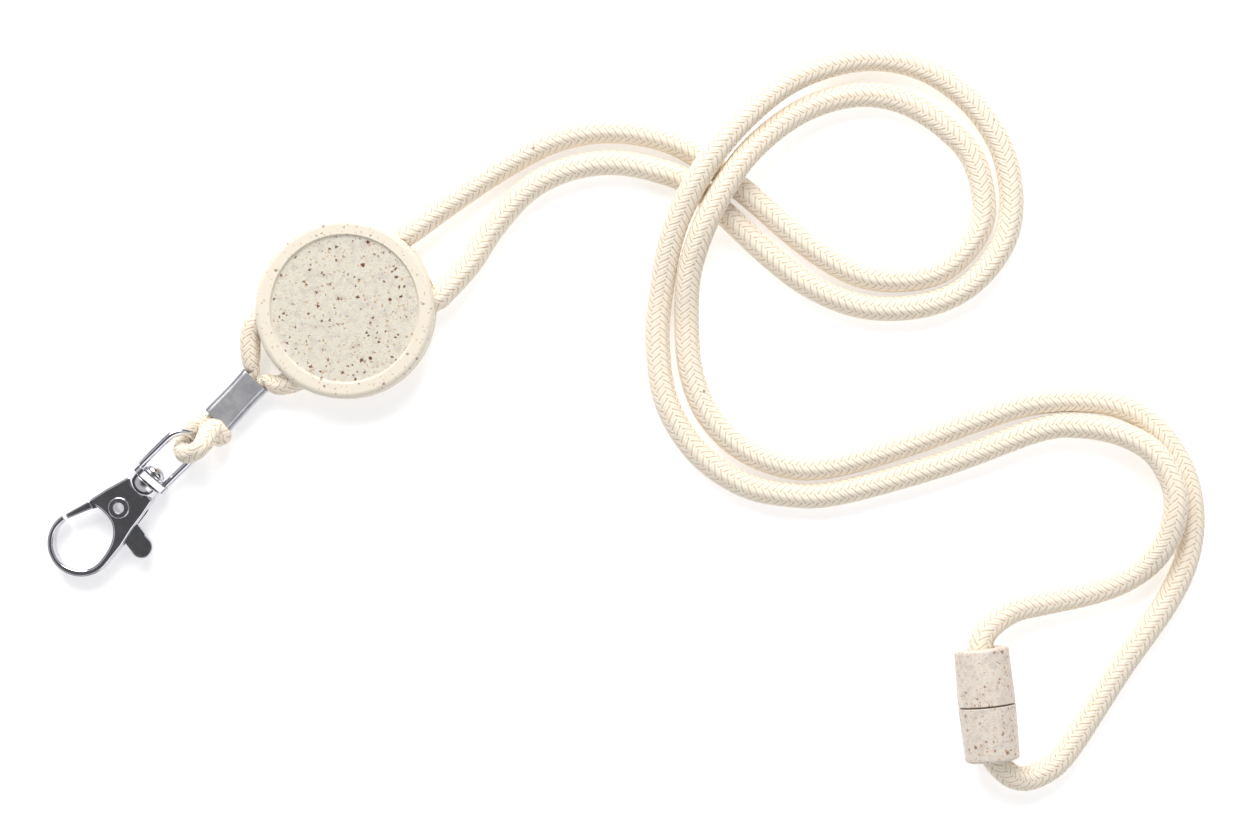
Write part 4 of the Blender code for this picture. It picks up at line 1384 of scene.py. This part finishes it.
@dataclass
class Studio:
    """The white paper, the soft lights and the camera straight above.

    A sky band is a height, from 0 at the horizon to 1 overhead, and the grey there.
    """

    frame_width: float = 0.2458
    camera_height: float = 0.650
    centre: Point = (0.0545, -0.0213)
    floor_half: float = 3.0
    floor_glow: float = 0.38
    light_size: float = 0.8
    paper: Colour = (0.93, 0.93, 0.935)
    paper_z: float = -0.00002
    sky_strength: float = 0.56
    sky_low: Colour = (0.6, 0.6, 0.61)
    sky_top: Colour = (0.15, 0.15, 0.157)
    sky_bands: tuple[tuple[float, float], ...] = (
        (0.01, 0.10), (0.40, 0.14), (0.52, 1.25), (0.83, 1.25), (0.955, 0.17),
    )

    def camera(self) -> None:
        """The camera looks straight down at the middle of the picture."""
        data = bpy.data.cameras.new("camera")
        data.sensor_width = 36.0
        data.lens = data.sensor_width * self.camera_height / self.frame_width
        data.clip_start = 0.01
        data.clip_end = 20.0
        camera = bpy.data.objects.new("camera", data)
        camera.location = (*self.centre, self.camera_height)
        bpy.context.scene.collection.objects.link(camera)
        bpy.context.scene.camera = camera

    def floor(self) -> None:
        """A large sheet of white paper just under the lanyard."""
        bpy.ops.mesh.primitive_plane_add(size=2 * self.floor_half, location=(0, 0, self.paper_z))
        floor = bpy.context.object
        floor.name = "paper"
        sheet = NodeSheet("white_paper")
        floor.data.materials.append(
            sheet.surface(
                Base_Color=self.paper, Roughness=0.9, Specular_IOR_Level=0.1,
                Emission_Color=(1.0, 1.0, 1.0), Emission_Strength=self.floor_glow,
            )
        )

    def softbox(self, name: str, at: Point, power: float, colour: Colour) -> None:
        """One square soft light that shines at the middle of the picture.

        Args:
            name: its name.
            at: where it is.
            power: its power in watts.
            colour: its colour.
        """
        data = bpy.data.lights.new(name, "AREA")
        data.shape = "SQUARE"
        data.size = self.light_size
        data.energy = power
        data.color = colour
        light = bpy.data.objects.new(name, data)
        light.location = at
        light.rotation_euler = (Vector((*self.centre, 0.0)) - Vector(at)).to_track_quat("-Z", "Y").to_euler()
        bpy.context.scene.collection.objects.link(light)

    def sky(self) -> None:
        """A soft white surround that is dark overhead, where the camera stands."""
        world = bpy.data.worlds.new("surround")
        bpy.context.scene.world = world
        world.use_nodes = True
        nodes = world.node_tree.nodes
        links = world.node_tree.links
        split = nodes.new("ShaderNodeSeparateXYZ")
        links.new(nodes.new("ShaderNodeTexCoord").outputs["Generated"], split.inputs[0])
        ramp = nodes.new("ShaderNodeValToRGB")
        links.new(split.outputs["Z"], ramp.inputs[0])
        ramp.color_ramp.elements[0].color = (*self.sky_low, 1.0)
        ramp.color_ramp.elements[1].color = (*self.sky_top, 1.0)
        for height, grey in self.sky_bands:
            ramp.color_ramp.elements.new(height).color = (grey, grey, 1.02 * grey, 1.0)
        links.new(ramp.outputs[0], nodes["Background"].inputs["Color"])
        nodes["Background"].inputs["Strength"].default_value = self.sky_strength

    def build(self) -> None:
        """Sets up the whole studio."""
        bpy.context.scene.view_settings.view_transform = "Standard"
        self.camera()
        self.floor()
        self.sky()
        self.softbox("key", (-0.10, 0.75, 0.55), 12.0, (1.0, 0.985, 0.96))
        self.softbox("fill", (0.55, -0.70, 0.60), 2.0, (0.96, 0.97, 1.0))


def main() -> None:
    """Builds the studio and every sub-assembly in order."""
    logging.basicConfig(level=logging.INFO, format="%(name)s %(message)s")
    Studio().build()
    LanyardCord().build()
    SliderDisc().build()
    CrimpFerrule().build()
    TriggerHook().build()
    BreakawayBuckle().build()


if __name__ == "__main__":
    main()
